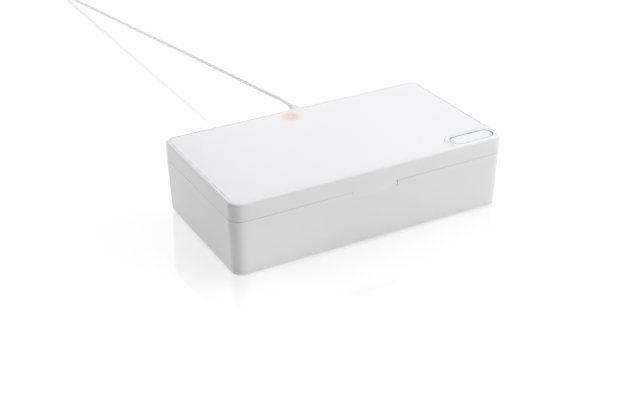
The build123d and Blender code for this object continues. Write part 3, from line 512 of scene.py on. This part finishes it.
@dataclass(frozen=True)
class CableJacket(Finish):
    """Extruded soft plastic that light soaks into a little."""

    colour: Colour
    tones: Span = (0.98, 1.01)
    roughness: float = 0.4
    cloud: float = 9 * MM
    skin: float = 0.4 * MM
    skin_depth: float = 0.012 * MM
    skin_haze: float = 0.1
    soak: float = 0.8
    soak_depth: float = 2.5 * MM
    soak_radius: Point = (1.0, 1.0, 1.0)
    bump: float = 0.25

    def sockets(self, recipe: Recipe, place: Wire) -> Sockets:
        """A soft cloudiness and the fine sheen of an extruded skin.

        Args:
            recipe: The material's nodes.
            place: The point on the surface.

        Returns:
            The shader's values and links.
        """
        cloud = recipe.noise(place, self.cloud)
        skin = recipe.noise(place, self.skin)
        return {
            "Base Color": recipe.shaded(cloud, self.colour, self.tones),
            "Roughness": self.roughness + skin.swing(self.skin_haze),
            "Subsurface Weight": self.soak,
            "Subsurface Radius": self.soak_radius,
            "Subsurface Scale": self.soak_depth,
            "Normal": recipe.relief(skin, self.bump, self.skin_depth),
        }


@dataclass(frozen=True)
class CircuitBoard(Finish):
    """Solder mask over copper tracks, with bare pads."""

    mask: Colour
    track: Colour
    solder: Colour = (0.72, 0.72, 0.7)
    pitch: float = 2.4 * MM
    stagger: float = 0.37
    squash: float = 0.6
    squashed_row: int = 3
    track_width: float = 0.09
    track_blur: float = 0.1
    pads_a_track: float = 0.45
    pad_scatter: float = 0.8
    pad_edge: Span = (0.11, 0.13)
    pad_metal: float = 0.9
    pad_polish: float = 0.08
    roughness: float = 0.34
    smear: float = 1.5 * MM
    smear_haze: float = 0.1
    depth: float = 0.03 * MM
    bump: float = 0.5

    def sockets(self, recipe: Recipe, place: Wire) -> Sockets:
        """Square tracks that show faintly under the mask, and tinned pads between them.

        Args:
            recipe: The material's nodes.
            place: The point on the surface.

        Returns:
            The shader's values and links.
        """
        tracks = recipe.node(
            "ShaderNodeTexBrick",
            {
                "offset": self.stagger,
                "squash": self.squash,
                "squash_frequency": self.squashed_row,
            },
            {
                "Vector": place,
                "Scale": 1 / self.pitch,
                "Mortar Size": self.track_width,
                "Mortar Smooth": self.track_blur,
            },
            output="Fac",
        )
        pads = recipe.node(
            "ShaderNodeTexVoronoi",
            {"feature": "F1", "distance": "CHEBYCHEV"},
            {
                "Vector": place,
                "Scale": self.pads_a_track / self.pitch,
                "Randomness": self.pad_scatter,
            },
            output="Distance",
        )
        bare = recipe.within(pads, *self.pad_edge)
        smear = recipe.noise(place, self.smear)
        haze = smear.swing(self.smear_haze) - bare * self.pad_polish
        covered = recipe.blend(tracks, self.mask, self.track)
        return {
            "Base Color": recipe.blend(bare, covered, self.solder),
            "Metallic": bare * self.pad_metal,
            "Roughness": self.roughness + haze,
            "Normal": recipe.relief(tracks.highest(bare), self.bump, self.depth),
        }


@dataclass(frozen=True)
class LampPackage(Finish):
    """Ceramic lamp with a gilded well and a small square die in the middle."""

    lamps: tuple[Place, ...]
    dark_ceramic: Colour = (0.8, 0.76, 0.66)
    pale_ceramic: Colour = (0.86, 0.83, 0.74)
    gilding: Colour = (0.83, 0.62, 0.26)
    die_colour: Colour = (0.2, 0.24, 0.42)
    light_colour: Colour = (0.28, 0.2, 1.0)
    strength: float = 0.35
    crystal: float = 0.6 * MM
    well: float = 1.25 * MM
    well_height: float = 0.6
    well_metal: float = 0.9
    well_polish: float = 0.24
    die: float = 0.55 * MM
    die_height: float = 0.4
    edge: float = 0.08 * MM
    roughness: float = 0.5
    depth: float = 0.1 * MM
    bump: float = 0.6

    def sockets(self, recipe: Recipe, place: Wire) -> Sockets:
        """Squares about the middle of each lamp: die, gilded well and pale ceramic frame.

        Args:
            recipe: The material's nodes.
            place: The point on the surface.

        Returns:
            The shader's values and links.
        """
        across, along, _ = recipe.axes(place)
        squares = [(across - x).size().highest((along - y).size()) for x, y in self.lamps]
        reach = reduce(Wire.lowest, squares)
        in_well = recipe.within(reach, self.well, self.well + self.edge)
        in_die = recipe.within(reach, self.die, self.die + self.edge)
        crystal = recipe.noise(place, self.crystal)
        ceramic = recipe.blend(crystal, self.dark_ceramic, self.pale_ceramic)
        gilded = recipe.blend(in_well, ceramic, self.gilding)
        height = in_well * self.well_height + in_die * self.die_height
        return {
            "Base Color": recipe.blend(in_die, gilded, self.die_colour),
            "Metallic": in_well * self.well_metal,
            "Roughness": self.roughness - in_well * self.well_polish,
            "Emission Color": recipe.blend(in_die, BLACK, self.light_colour),
            "Emission Strength": self.strength,
            "Normal": recipe.relief(height, self.bump, self.depth),
        }


@dataclass(frozen=True)
class ClearGlass(Finish):
    """Polished quartz with a hint of dust."""

    colour: Colour
    tones: Span = (1.0, 0.97)
    index: float = 1.46
    roughness: float = 0.03
    dust: float = 0.8 * MM
    dusty: Span = (0.55, 0.8)
    dust_depth: float = 0.01 * MM
    dust_haze: float = 0.1
    bump: float = 0.05

    def sockets(self, recipe: Recipe, place: Wire) -> Sockets:
        """Clear glass whose polish and tint vary a little.

        Args:
            recipe: The material's nodes.
            place: The point on the surface.

        Returns:
            The shader's values and links.
        """
        dust = recipe.noise(place, self.dust, Detail.FINE)
        return {
            "Base Color": recipe.shaded(dust, self.colour, self.tones),
            "Roughness": self.roughness + recipe.beyond(dust, *self.dusty) * self.dust_haze,
            "Transmission Weight": 1.0,
            "IOR": self.index,
            "Normal": recipe.relief(dust, self.bump, self.dust_depth),
        }


@dataclass(frozen=True)
class WoundCopper(Finish):
    """Enamelled wire wound into flat rings about the part's own Z axis."""

    colour: Colour
    # The lower tone is painted shade in the crevices between the wires.
    tones: Span = (0.55, 1.0)
    pitch: float = 1.0 * MM
    metal: float = 0.85
    roughness: float = 0.32
    enamel: float = 4 * MM
    enamel_colour: Colour = (0.9, 0.5, 0.3)
    enamel_share: float = 0.3
    enamel_haze: float = 0.1
    depth: float = 0.1 * MM
    bump: float = 0.6

    def sockets(self, recipe: Recipe, place: Wire) -> Sockets:
        """Rings about the middle of the coil, with painted shade between the wires.

        Args:
            recipe: The material's nodes.
            place: The point on the surface.

        Returns:
            The shader's values and links.
        """
        across, along, _ = recipe.axes(place)
        ridge = (across.hypot(along) * (math.tau / self.pitch)).sine() * 0.5 + 0.5
        enamel = recipe.noise(place, self.enamel)
        # Painted shade: the colour drops to 0.55 of itself between the wires.
        shade = recipe.shaded(ridge, self.colour, self.tones)
        return {
            "Base Color": recipe.blend(enamel * self.enamel_share, shade, self.enamel_colour),
            "Metallic": self.metal,
            "Roughness": self.roughness + enamel.swing(self.enamel_haze),
            "Normal": recipe.relief(ridge, self.bump, self.depth),
        }


@dataclass(frozen=True)
class WovenStrap(Finish):
    """Hook-and-loop strap: a fuzzy weave."""

    colour: Colour
    # The tones are painted shade in the weave's hollows and painted light on its tops.
    tones: Span = (0.8, 1.0)
    roughness: float = 0.8
    thread: float = 0.45 * MM
    thread_height: float = 0.6
    fuzz: float = 0.3 * MM
    fuzz_height: float = 0.4
    fuzz_haze: float = 0.2
    depth: float = 0.12 * MM
    bump: float = 0.7

    def sockets(self, recipe: Recipe, place: Wire) -> Sockets:
        """Crossed threads in the bump, with painted light on their tops
        and painted shade between them.

        Args:
            recipe: The material's nodes.
            place: The point on the surface.

        Returns:
            The shader's values and links.
        """
        across, along, up = recipe.axes(place)
        turn = math.tau / self.thread
        weave = ((across + up) * turn).sine() * (along * turn).sine() * 0.5 + 0.5
        fuzz = recipe.noise(place, self.fuzz, Detail.FUZZY)
        height = weave * self.thread_height + fuzz * self.fuzz_height
        return {
            # Painted light and shade: the colour follows the weave's height.
            "Base Color": recipe.shaded(weave, self.colour, self.tones),
            "Roughness": self.roughness + fuzz.swing(self.fuzz_haze),
            "Normal": recipe.relief(height, self.bump, self.depth),
        }


@dataclass(frozen=True)
class SinteredFerrite(Finish):
    """Dark pressed ferrite with a speckle."""

    colour: Colour
    speck_colour: Colour = (0.2, 0.2, 0.22)
    speck: float = 0.35 * MM
    speck_edge: Span = (0.6, 0.72)
    speck_polish: float = 0.25
    roughness: float = 0.7
    depth: float = 0.03 * MM
    bump: float = 0.4

    def sockets(self, recipe: Recipe, place: Wire) -> Sockets:
        """Pale specks in a dark matt body.

        Args:
            recipe: The material's nodes.
            place: The point on the surface.

        Returns:
            The shader's values and links.
        """
        noise = recipe.noise(place, self.speck, Detail.FINE)
        specks = recipe.beyond(noise, *self.speck_edge)
        return {
            "Base Color": recipe.blend(specks, self.colour, self.speck_colour),
            "Roughness": self.roughness - specks * self.speck_polish,
            "Normal": recipe.relief(specks, self.bump, self.depth),
        }


@dataclass(frozen=True)
class PaintedGapShadeBezel(Finish):
    """Moulded bezel with painted shade of the button's gap: a darker, metallic inner edge."""

    colour: Colour
    painted_gap_shade: Colour
    middle: Place
    half_length: float
    half_width: float
    tones: Span = (0.985, 1.0)
    painted_shade_width: float = 0.38 * MM
    painted_shade_edge: float = 0.15 * MM
    painted_shade_metal: float = 0.85
    painted_shade_polish: float = 0.12
    roughness: float = 0.3
    grain: float = 0.3 * MM
    grain_depth: float = 0.005 * MM
    grain_haze: float = 0.08
    bump: float = 0.2

    def sockets(self, recipe: Recipe, place: Wire) -> Sockets:
        """Painted shade of the button's gap, as a darker metallic line that follows the button's
        outline, on smooth white plastic.

        Args:
            recipe: The material's nodes.
            place: The point on the surface.

        Returns:
            The shader's values and links.
        """
        grain = recipe.noise(place, self.grain, Detail.FINE)
        across, along, _ = recipe.axes(place)
        straight = self.half_length - self.half_width
        past_end = ((across - self.middle[0]).size() - straight).highest(0.0)
        reach = past_end.hypot(along - self.middle[1]) - self.half_width
        # Painted shade: a darker, metallic line along the bezel's inner edge, where the gap round
        # the button falls into shade.
        painted_shade_line = recipe.within(reach, self.painted_shade_width, self.painted_shade_width + self.painted_shade_edge)
        haze = grain.swing(self.grain_haze) - painted_shade_line * self.painted_shade_polish
        white = recipe.shaded(grain, self.colour, self.tones)
        return {
            "Base Color": recipe.blend(painted_shade_line, white, self.painted_gap_shade),
            "Metallic": painted_shade_line * self.painted_shade_metal,
            "Roughness": self.roughness + haze,
            "Normal": recipe.relief(grain, self.bump, self.grain_depth),
        }


SHELL = MouldedPlastic("shell_white", (0.84, 0.84, 0.842), roughness=0.38)
COVER = MouldedPlastic("cover_white", (0.82, 0.82, 0.83), roughness=0.24, grain_depth=0.004 * MM)
BUTTON = MouldedPlastic(
    "button_white", (0.825, 0.842, 0.866), roughness=0.3, grain_depth=0.005 * MM
)
PLUG = MouldedPlastic("plug_white", (0.81, 0.81, 0.8), roughness=0.45, grain=0.5 * MM)
INSERT = MouldedPlastic("insert_white", (0.85, 0.85, 0.84), roughness=0.4)
SWITCH = MouldedPlastic("switch_black", (0.045, 0.045, 0.048), roughness=0.45)
PIPE = MouldedPlastic("pipe_amber", (0.95, 0.55, 0.3), roughness=0.25, grain_depth=0.002 * MM)
LINER = Metallised("liner_silver", (0.8, 0.81, 0.83))
SEAL = SoftRubber("seal_grey", (0.58, 0.59, 0.61))
FOOT = SoftRubber("foot_rubber", (0.66, 0.66, 0.67), roughness=0.7)
HARNESS = SoftRubber("wire_red", (0.5, 0.06, 0.045), roughness=0.45)
JACKET = CableJacket("cable_white", (0.75, 0.75, 0.745))
SCREW = Metal("screw_steel", (0.62, 0.62, 0.64), roughness=0.3)
PIN = Metal("pin_steel", (0.68, 0.68, 0.7), roughness=0.22, run=(0.08, 1.0, 1.0))
NICKEL = Metal("magnet_nickel", (0.74, 0.72, 0.68), roughness=0.18, mark=0.6 * MM)
CONTACT = Metal("plug_steel", (0.76, 0.76, 0.77), roughness=0.2, run=(1.0, 0.1, 1.0))
COPPER = WoundCopper("coil_copper", (0.74, 0.34, 0.18))
FERRITE = SinteredFerrite("ferrite_dark", (0.05, 0.05, 0.055))
WHITE_BOARD = CircuitBoard("board_white", (0.82, 0.83, 0.82), (0.74, 0.76, 0.75))
GREEN_BOARD = CircuitBoard("board_green", (0.02, 0.17, 0.07), (0.05, 0.28, 0.12))
QUARTZ = ClearGlass("window_quartz", (0.97, 0.985, 1.0))
STRAP = WovenStrap("tie_white", (0.78, 0.78, 0.78))


# ------------------------------------------------------------------------------ the object
def middle_of(name: str) -> Place:
    """Where the middle of a piece of the frame is, seen from above."""
    low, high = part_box(name)
    return (low.x + high.x) / 2, (low.y + high.y) / 2


def eased(value: float, span: Span) -> float:
    """How far a value has gone through a span, from 0 to 1, with a smooth start and end."""
    share = min(max((value - span[0]) / (span[1] - span[0]), 0.0), 1.0)
    return share * share * (3 - 2 * share)


def put_in_scene(name: str, data: bpy.types.ID) -> bpy.types.Object:
    """Makes an object and links it to the scene.

    Args:
        name: The object's name.
        data: Its mesh, curve, light or camera.

    Returns:
        The object.
    """
    made = bpy.data.objects.new(name, data)
    bpy.context.scene.collection.objects.link(made)
    return made


@dataclass
class SubAssembly:
    """A group of pieces that are dressed together."""

    nodes: Mapping[str, bpy.types.Object]

    def dress(self) -> None:
        """Gives every piece of the group its finish."""
        raise NotImplementedError

    def dress_nodes(self, finish: Finish, *names: str) -> None:
        """Puts one finish on pieces of the frame."""
        finish.dress(*[self.nodes[name] for name in names])
        LOG.info("%s, %s: %s", type(finish).__name__, finish.name, ", ".join(names))


class BaseHousing(SubAssembly):
    """Lower housing with its feet, screws, seal and magnets."""

    def dress(self) -> None:
        """Dresses the housing's pieces."""
        self.dress_nodes(SHELL, "base_shell")
        self.dress_nodes(SEAL, "light_seal")
        feet = [f"foot_{end}_{side}" for end in ("front", "rear") for side in ("left", "right")]
        self.dress_nodes(FOOT, *feet)
        self.dress_nodes(SCREW, "base_screws")
        self.dress_nodes(NICKEL, "base_magnets")
        self.dress_nodes(PIN, "hinge_pin_left", "hinge_pin_right")
        self.dress_nodes(HARNESS, "base_harness")


@dataclass
class Chamber(SubAssembly):
    """Sanitizing chamber: reflecting tub, lamps and their windows."""

    lower_lamps: tuple[float, ...] = (-45 * MM, 45 * MM)
    upper_lamps: tuple[float, ...] = (-54 * MM, -18 * MM, 18 * MM, 54 * MM)

    def dress_lamps(self, name: str, across: tuple[float, ...]) -> None:
        """Dresses the lamps of one board, which stand in a row along the box."""
        _, along = middle_of(name)
        self.dress_nodes(LampPackage(name, tuple((x, along) for x in across)), name)

    def dress(self) -> None:
        """Dresses the tub, the boards, the lamps and the windows."""
        self.dress_nodes(LINER, "chamber_liner")
        self.dress_nodes(WHITE_BOARD, "lower_lamp_board", "upper_lamp_board")
        self.dress_lamps("lower_uv_lamps", self.lower_lamps)
        self.dress_lamps("upper_uv_lamps", self.upper_lamps)
        self.dress_nodes(QUARTZ, "lower_lamp_windows", "upper_lamp_windows")


@dataclass
class Lid(SubAssembly):
    """Lid with its charging pad, button and inner parts."""

    pad_colour: Colour = (0.838, 0.833, 0.861)
    bezel_colour: Colour = (0.86, 0.86, 0.87)
    # Painted shade: the darker colour of the line round the button's gap.
    painted_gap_shade_colour: Colour = (0.5, 0.51, 0.56)
    bezel_width: float = 2.2 * MM

    def bezel_finish(self) -> PaintedGapShadeBezel:
        """Measures the bezel for the line of painted gap shade round the button.

        Returns:
            The bezel's finish.
        """
        low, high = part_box("button_bezel")
        return PaintedGapShadeBezel(
            "bezel_white",
            self.bezel_colour,
            self.painted_gap_shade_colour,
            middle=middle_of("button_bezel"),
            half_length=(high.x - low.x) / 2 - self.bezel_width,
            half_width=(high.y - low.y) / 2 - self.bezel_width,
        )

    def dress(self) -> None:
        """Dresses the lid's pieces."""
        pad = LitPad("pad_white", self.pad_colour, middle_of("light_pipe"))
        self.dress_nodes(SHELL, "lid_frame")
        self.dress_nodes(pad, "charging_pad")
        self.dress_nodes(self.bezel_finish(), "button_bezel")
        self.dress_nodes(BUTTON, "button")
        self.dress_nodes(COVER, "inner_cover")
        self.dress_nodes(SCREW, "cover_screws")
        self.dress_nodes(NICKEL, "lid_magnets")
        self.dress_nodes(SWITCH, "button_switch", "switch_plunger", "lid_sensor")
        self.dress_nodes(GREEN_BOARD, "main_board", "status_led")
        self.dress_nodes(COPPER, "charging_coil")
        self.dress_nodes(FERRITE, "ferrite_plate")
        self.dress_nodes(PIPE, "light_pipe")
        self.dress_nodes(HARNESS, "lid_harness")


@dataclass
class ChargingLead(SubAssembly):
    """Charging lead: plugs, strain reliefs, and the cord in between.

    The route runs from the first strain relief down to the table. The coil's changes of lane
    are spans of turns. The tail's points are shares of the way from the coil to the second
    plug, along each axis.
    """

    diameter: float = 3.0 * MM
    length: float = 0.9
    route: tuple[Point, ...] = (
        (0.0165, 0.0994, 0.0392),
        (0.0165, 0.1114, 0.0392),
        (0.0132, 0.1300, 0.0385),
        (0.0106, 0.1580, 0.0366),
        (0.0081, 0.1900, 0.0342),
        (0.0056, 0.2220, 0.0315),
        (-0.0136, 0.4670, 0.0110),
        (-0.0178, 0.5200, 0.0063),
        (-0.0220, 0.5730, 0.0018),
    )
    coil_middle: Place = (-4.0 * MM, 607.0 * MM)
    inner_turn: float = 16.5 * MM
    outer_turn: float = 19.5 * MM
    low_layer: float = 2.0 * MM
    high_layer: float = 5.0 * MM
    turns: float = 3.25
    points_per_turn: int = 24
    steps_inward: Span = (0.7, 0.95)
    steps_up: Span = (1.42, 1.66)
    steps_outward: Span = (2.25, 2.41)
    tail: tuple[Point, ...] = ((0.2, 0.0, 0.0), (0.45, 0.4, 0.3), (0.75, 0.9, 0.95))
    spline_order: int = 3
    spline_steps: int = 8
    bevel_steps: int = 5

    def dress(self) -> None:
        """Makes the cord and dresses the pieces on it."""
        self.make_cord()
        self.dress_nodes(PLUG, "usb_c_overmould", "usb_a_overmould")
        self.dress_nodes(INSERT, "usb_a_insert")
        self.dress_nodes(CONTACT, "usb_c_plug", "usb_a_shell", "usb_c_socket")
        self.dress_nodes(GREEN_BOARD, "power_board")
        self.dress_nodes(STRAP, "cable_tie")

    def coil_point(self, turn: float) -> Vector:
        """Finds a control point of the coil.

        Args:
            turn: Turns since the start of the coil, clockwise from its left side.

        Returns:
            The point.
        """
        lane = eased(turn, self.steps_inward) - eased(turn, self.steps_outward)
        radius = self.outer_turn + (self.inner_turn - self.outer_turn) * lane
        radius /= math.cos(math.pi / self.points_per_turn)
        angle = math.pi - math.tau * turn
        lift = eased(turn, self.steps_up)
        height = self.low_layer + (self.high_layer - self.low_layer) * lift
        middle = Vector((*self.coil_middle, height))
        return middle + radius * Vector((math.cos(angle), math.sin(angle), 0.0))

    def tail_points(self) -> list[Vector]:
        """Finds the control points from the coil down to the second plug's strain relief.

        Returns:
            The points.
        """
        low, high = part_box("usb_a_overmould")
        end = Vector((low.x, (low.y + high.y) / 2, (low.z + high.z) / 2))
        start = self.coil_point(self.turns)
        return [start + (end - start) * Vector(share) for share in self.tail] + [end]

    def control_points(self) -> list[Vector]:
        """Lists the cord's control points, from the first plug to the second.

        Returns:
            The points.
        """
        count = round(self.turns * self.points_per_turn)
        coil = [self.coil_point(step / self.points_per_turn) for step in range(count + 1)]
        return [Vector(point) for point in self.route] + coil + self.tail_points()

    def make_cord(self) -> None:
        """Lays the cord on its route, round the coil and into the second plug."""
        points = self.control_points()
        curve = bpy.data.curves.new("charging_lead", "CURVE")
        curve.dimensions = "3D"
        curve.bevel_depth = self.diameter / 2
        curve.bevel_resolution = self.bevel_steps
        curve.use_fill_caps = True
        spline = curve.splines.new("NURBS")
        spline.points.add(len(points) - 1)
        for control, point in zip(spline.points, points):
            control.co = (*point, 1.0)
        spline.order_u = self.spline_order
        spline.use_endpoint_u = True
        spline.resolution_u = self.spline_steps
        cord = put_in_scene("charging_lead", curve)
        JACKET.dress(cord)
        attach(cord, "base")
        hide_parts("cable_lead", "cable_coil", "cable_tail")
        LOG.info("charging_lead: %d control points", len(points))


# ------------------------------------------------------------------------------ studio
class Side(Enum):
    """Where a studio lamp stands, as a direction from the box."""

    OVERHEAD = (0.5, 0.3, 1.0)
    REAR_LEFT = (-0.9, 0.9, 0.45)
    REAR = (0.37, 1.0, 0.56)
    FRONT_RIGHT = (0.62, -0.85, 0.5)


@dataclass(frozen=True)
class SoftBox:
    """A soft lamp that looks at the box."""

    side: Side
    power: float
    breadth: float
    distance: float

    def place(self) -> None:
        """Sets the lamp up."""
        name = f"softbox_{self.side.name.lower()}"
        lamp = bpy.data.lights.new(name, "AREA")
        lamp.shape = "SQUARE"
        lamp.size = self.breadth
        lamp.energy = self.power
        stand = put_in_scene(name, lamp)
        direction = Vector(self.side.value).normalized()
        stand.location = direction * self.distance
        stand.rotation_euler = direction.to_track_quat("Z", "Y").to_euler()
        stand.visible_camera = False
        LOG.info("%s: %.1f W", name, self.power)


@dataclass(frozen=True)
class TableGlow:
    """Light that comes up through the table round one place.

    A rear factor below 1 lets it fall off more slowly behind its middle, and 0 not at all.
    """

    middle: Place
    reach: Span
    strength: float
    rear: float = 1.0

    def on(self, recipe: Recipe, across: Wire, along: Wire) -> Wire:
        """Works out what the glow adds to the table's light at a place.

        Args:
            recipe: The tree to add to.
            across: The place's X.
            along: The place's Y.

        Returns:
            Its strength, which falls with the distance from the middle.
        """
        forward = (self.middle[1] - along).highest((along - self.middle[1]) * self.rear)
        near = (across - self.middle[0]).hypot(forward)
        return recipe.within(near, *self.reach) * self.strength


@dataclass(frozen=True)
class Viewpoint:
    """Where the camera stands and what it looks at."""

    stand: Point = (-0.372228, -0.652787, 0.413576)
    aim: Point = (-0.009755, 0.003415, 0.004518)
    roll_degrees: float = -0.4537
    lens: float = 63.975
    sensor: float = 36.0
    clip: Span = (0.02, 30.0)

    def place(self) -> None:
        """Sets the camera up as the scene's camera."""
        camera = bpy.data.cameras.new("camera")
        camera.lens = self.lens
        camera.sensor_width = self.sensor
        camera.clip_start, camera.clip_end = self.clip
        stand = put_in_scene("camera", camera)
        away = Vector(self.stand) - Vector(self.aim)
        turned = away.to_track_quat("Z", "Y").to_matrix()
        rolled = turned @ Matrix.Rotation(math.radians(self.roll_degrees), 3, "Z")
        stand.matrix_world = Matrix.Translation(self.stand) @ rolled.to_4x4()
        bpy.context.scene.camera = stand
        LOG.info("camera: %.1f mm lens", self.lens)


@dataclass(frozen=True)
class Studio:
    """Pale glossy light table in a white room, with soft lamps.

    The table gives off light. Its whites are what the camera sees of it, with painted light in
    front of the box and by its front left corner that only the camera sees, and its glows are
    what falls on the box. The share of it that keeps the shade is a plain pale surface.
    """

    table_breadth: float = 12.0
    table_colour: Colour = (0.8, 0.8, 0.8)
    table_index: float = 1.45
    table_gloss: float = 3.4
    table_haze: float = 0.08
    table_white: float = 1.165
    # Painted light: extra white that only the camera sees, growing over 0.2 m in front of the
    # box's middle.
    painted_front_light: float = 0.11
    front_reach: Span = (0.0, 0.2)
    shade_kept: float = 0.3
    room_light: float = 0.145
    glows: tuple[TableGlow, ...] = (
        TableGlow(middle=(-0.06, 0.0), reach=(0.03, 0.3), strength=0.15, rear=0.0),
        TableGlow(middle=(-0.1, -0.09), reach=(0.0, 0.1), strength=0.5),
        TableGlow(middle=(-0.02, 0.34), reach=(0.2, 0.42), strength=0.7),
    )
    # Painted light: a patch of extra white that only the camera sees, by the box's front left
    # corner.
    painted_floor_light: TableGlow = TableGlow(middle=(-0.135, -0.12), reach=(0.0, 0.1), strength=0.22)
    lamps: tuple[SoftBox, ...] = (
        SoftBox(Side.OVERHEAD, power=9.9, breadth=1.1, distance=1.1),
        SoftBox(Side.REAR_LEFT, power=1.9, breadth=0.6, distance=0.95),
        SoftBox(Side.REAR, power=0.35, breadth=0.22, distance=1.2),
        SoftBox(Side.FRONT_RIGHT, power=4.4, breadth=0.5, distance=1.1),
    )

    @staticmethod
    def seen(recipe: Recipe) -> Wire:
        """Tells the rays that reach the camera, straight, mirrored or through glass.

        Args:
            recipe: The tree to add to.

        Returns:
            1 for such a ray, and 0 for one that only lights a surface.
        """
        rays = recipe.node("ShaderNodeLightPath").socket.node.outputs
        kinds = ("Is Camera Ray", "Is Glossy Ray", "Is Transmission Ray")
        camera, glossy, through = (Wire(recipe, rays[kind]) for kind in kinds)
        return camera.highest(glossy).highest(through)

    def table_strength(self, recipe: Recipe) -> Wire:
        """Works out how much light the table gives off.

        Args:
            recipe: The table's nodes.

        Returns:
            Its strength: one for what the camera sees, and a fainter one that lights the box.
        """
        seen = self.seen(recipe)
        across, along, _ = recipe.axes(recipe.place())
        faint = sum(glow.on(recipe, across, along) for glow in self.glows)
        front = recipe.beyond(-1 * along, *self.front_reach) * self.painted_front_light
        # What the camera sees: the even white, with painted light in front of the box and by its
        # corner.
        bright = front + self.table_white + self.painted_floor_light.on(recipe, across, along)
        return seen * bright + (1 - seen) * faint

    def table_finish(self) -> bpy.types.Material:
        """Mixes the table's light with its shade, and puts its gloss over both.

        Returns:
            The table's material.
        """
        material = bpy.data.materials.new("table_white")
        recipe = Recipe(material)
        strength = self.table_strength(recipe)
        shade = recipe.node("ShaderNodeBsdfDiffuse", sockets={"Color": opaque(self.table_colour)})
        white = recipe.node("ShaderNodeEmission", sockets={"Strength": strength})
        lit = recipe.mixed(1 - self.shade_kept, shade, white)
        mirror = {"Color": opaque(WHITE), "Roughness": self.table_haze}
        gloss = recipe.node("ShaderNodeBsdfGlossy", sockets=mirror)
        share = recipe.node("ShaderNodeFresnel", sockets={"IOR": self.table_index})
        recipe.end(recipe.mixed(share * self.table_gloss, lit, gloss))
        return material

    def make_table(self) -> None:
        """A wide plane that keeps the box's shadow and a faint mirror image of it."""
        half = self.table_breadth / 2
        corners = [(-half, -half, 0), (half, -half, 0), (half, half, 0), (-half, half, 0)]
        mesh = bpy.data.meshes.new("table")
        mesh.from_pydata(corners, [], [(0, 1, 2, 3)])
        mesh.materials.append(self.table_finish())
        put_in_scene("table", mesh)
        LOG.info("table: %.0f m broad", self.table_breadth)

    def make_room(self) -> None:
        """A room that looks white and lights the box at a plain level."""
        world = bpy.data.worlds.new("room")
        bpy.context.scene.world = world
        recipe = Recipe(world)
        strength = self.room_light + self.seen(recipe) * (1 - self.room_light)
        sockets = {"Color": opaque(WHITE), "Strength": strength}
        background = recipe.node("ShaderNodeBackground", sockets=sockets)
        recipe.node("ShaderNodeOutputWorld", sockets={"Surface": background})

    def build(self) -> None:
        """Sets up the table, the room and the lamps."""
        self.make_table()
        self.make_room()
        for lamp in self.lamps:
            lamp.place()
        bpy.context.scene.view_settings.view_transform = "Standard"


def main() -> None:
    """Loads the frame, dresses the box and sets up the studio."""
    logging.basicConfig(level=logging.INFO, format="%(name)s: %(message)s")
    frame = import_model()
    Viewpoint().place()
    nodes = frame["nodes"]
    for assembly in (ChargingLead(nodes), BaseHousing(nodes), Chamber(nodes), Lid(nodes)):
        assembly.dress()
    Studio().build()


if __name__ == "__main__":
    main()
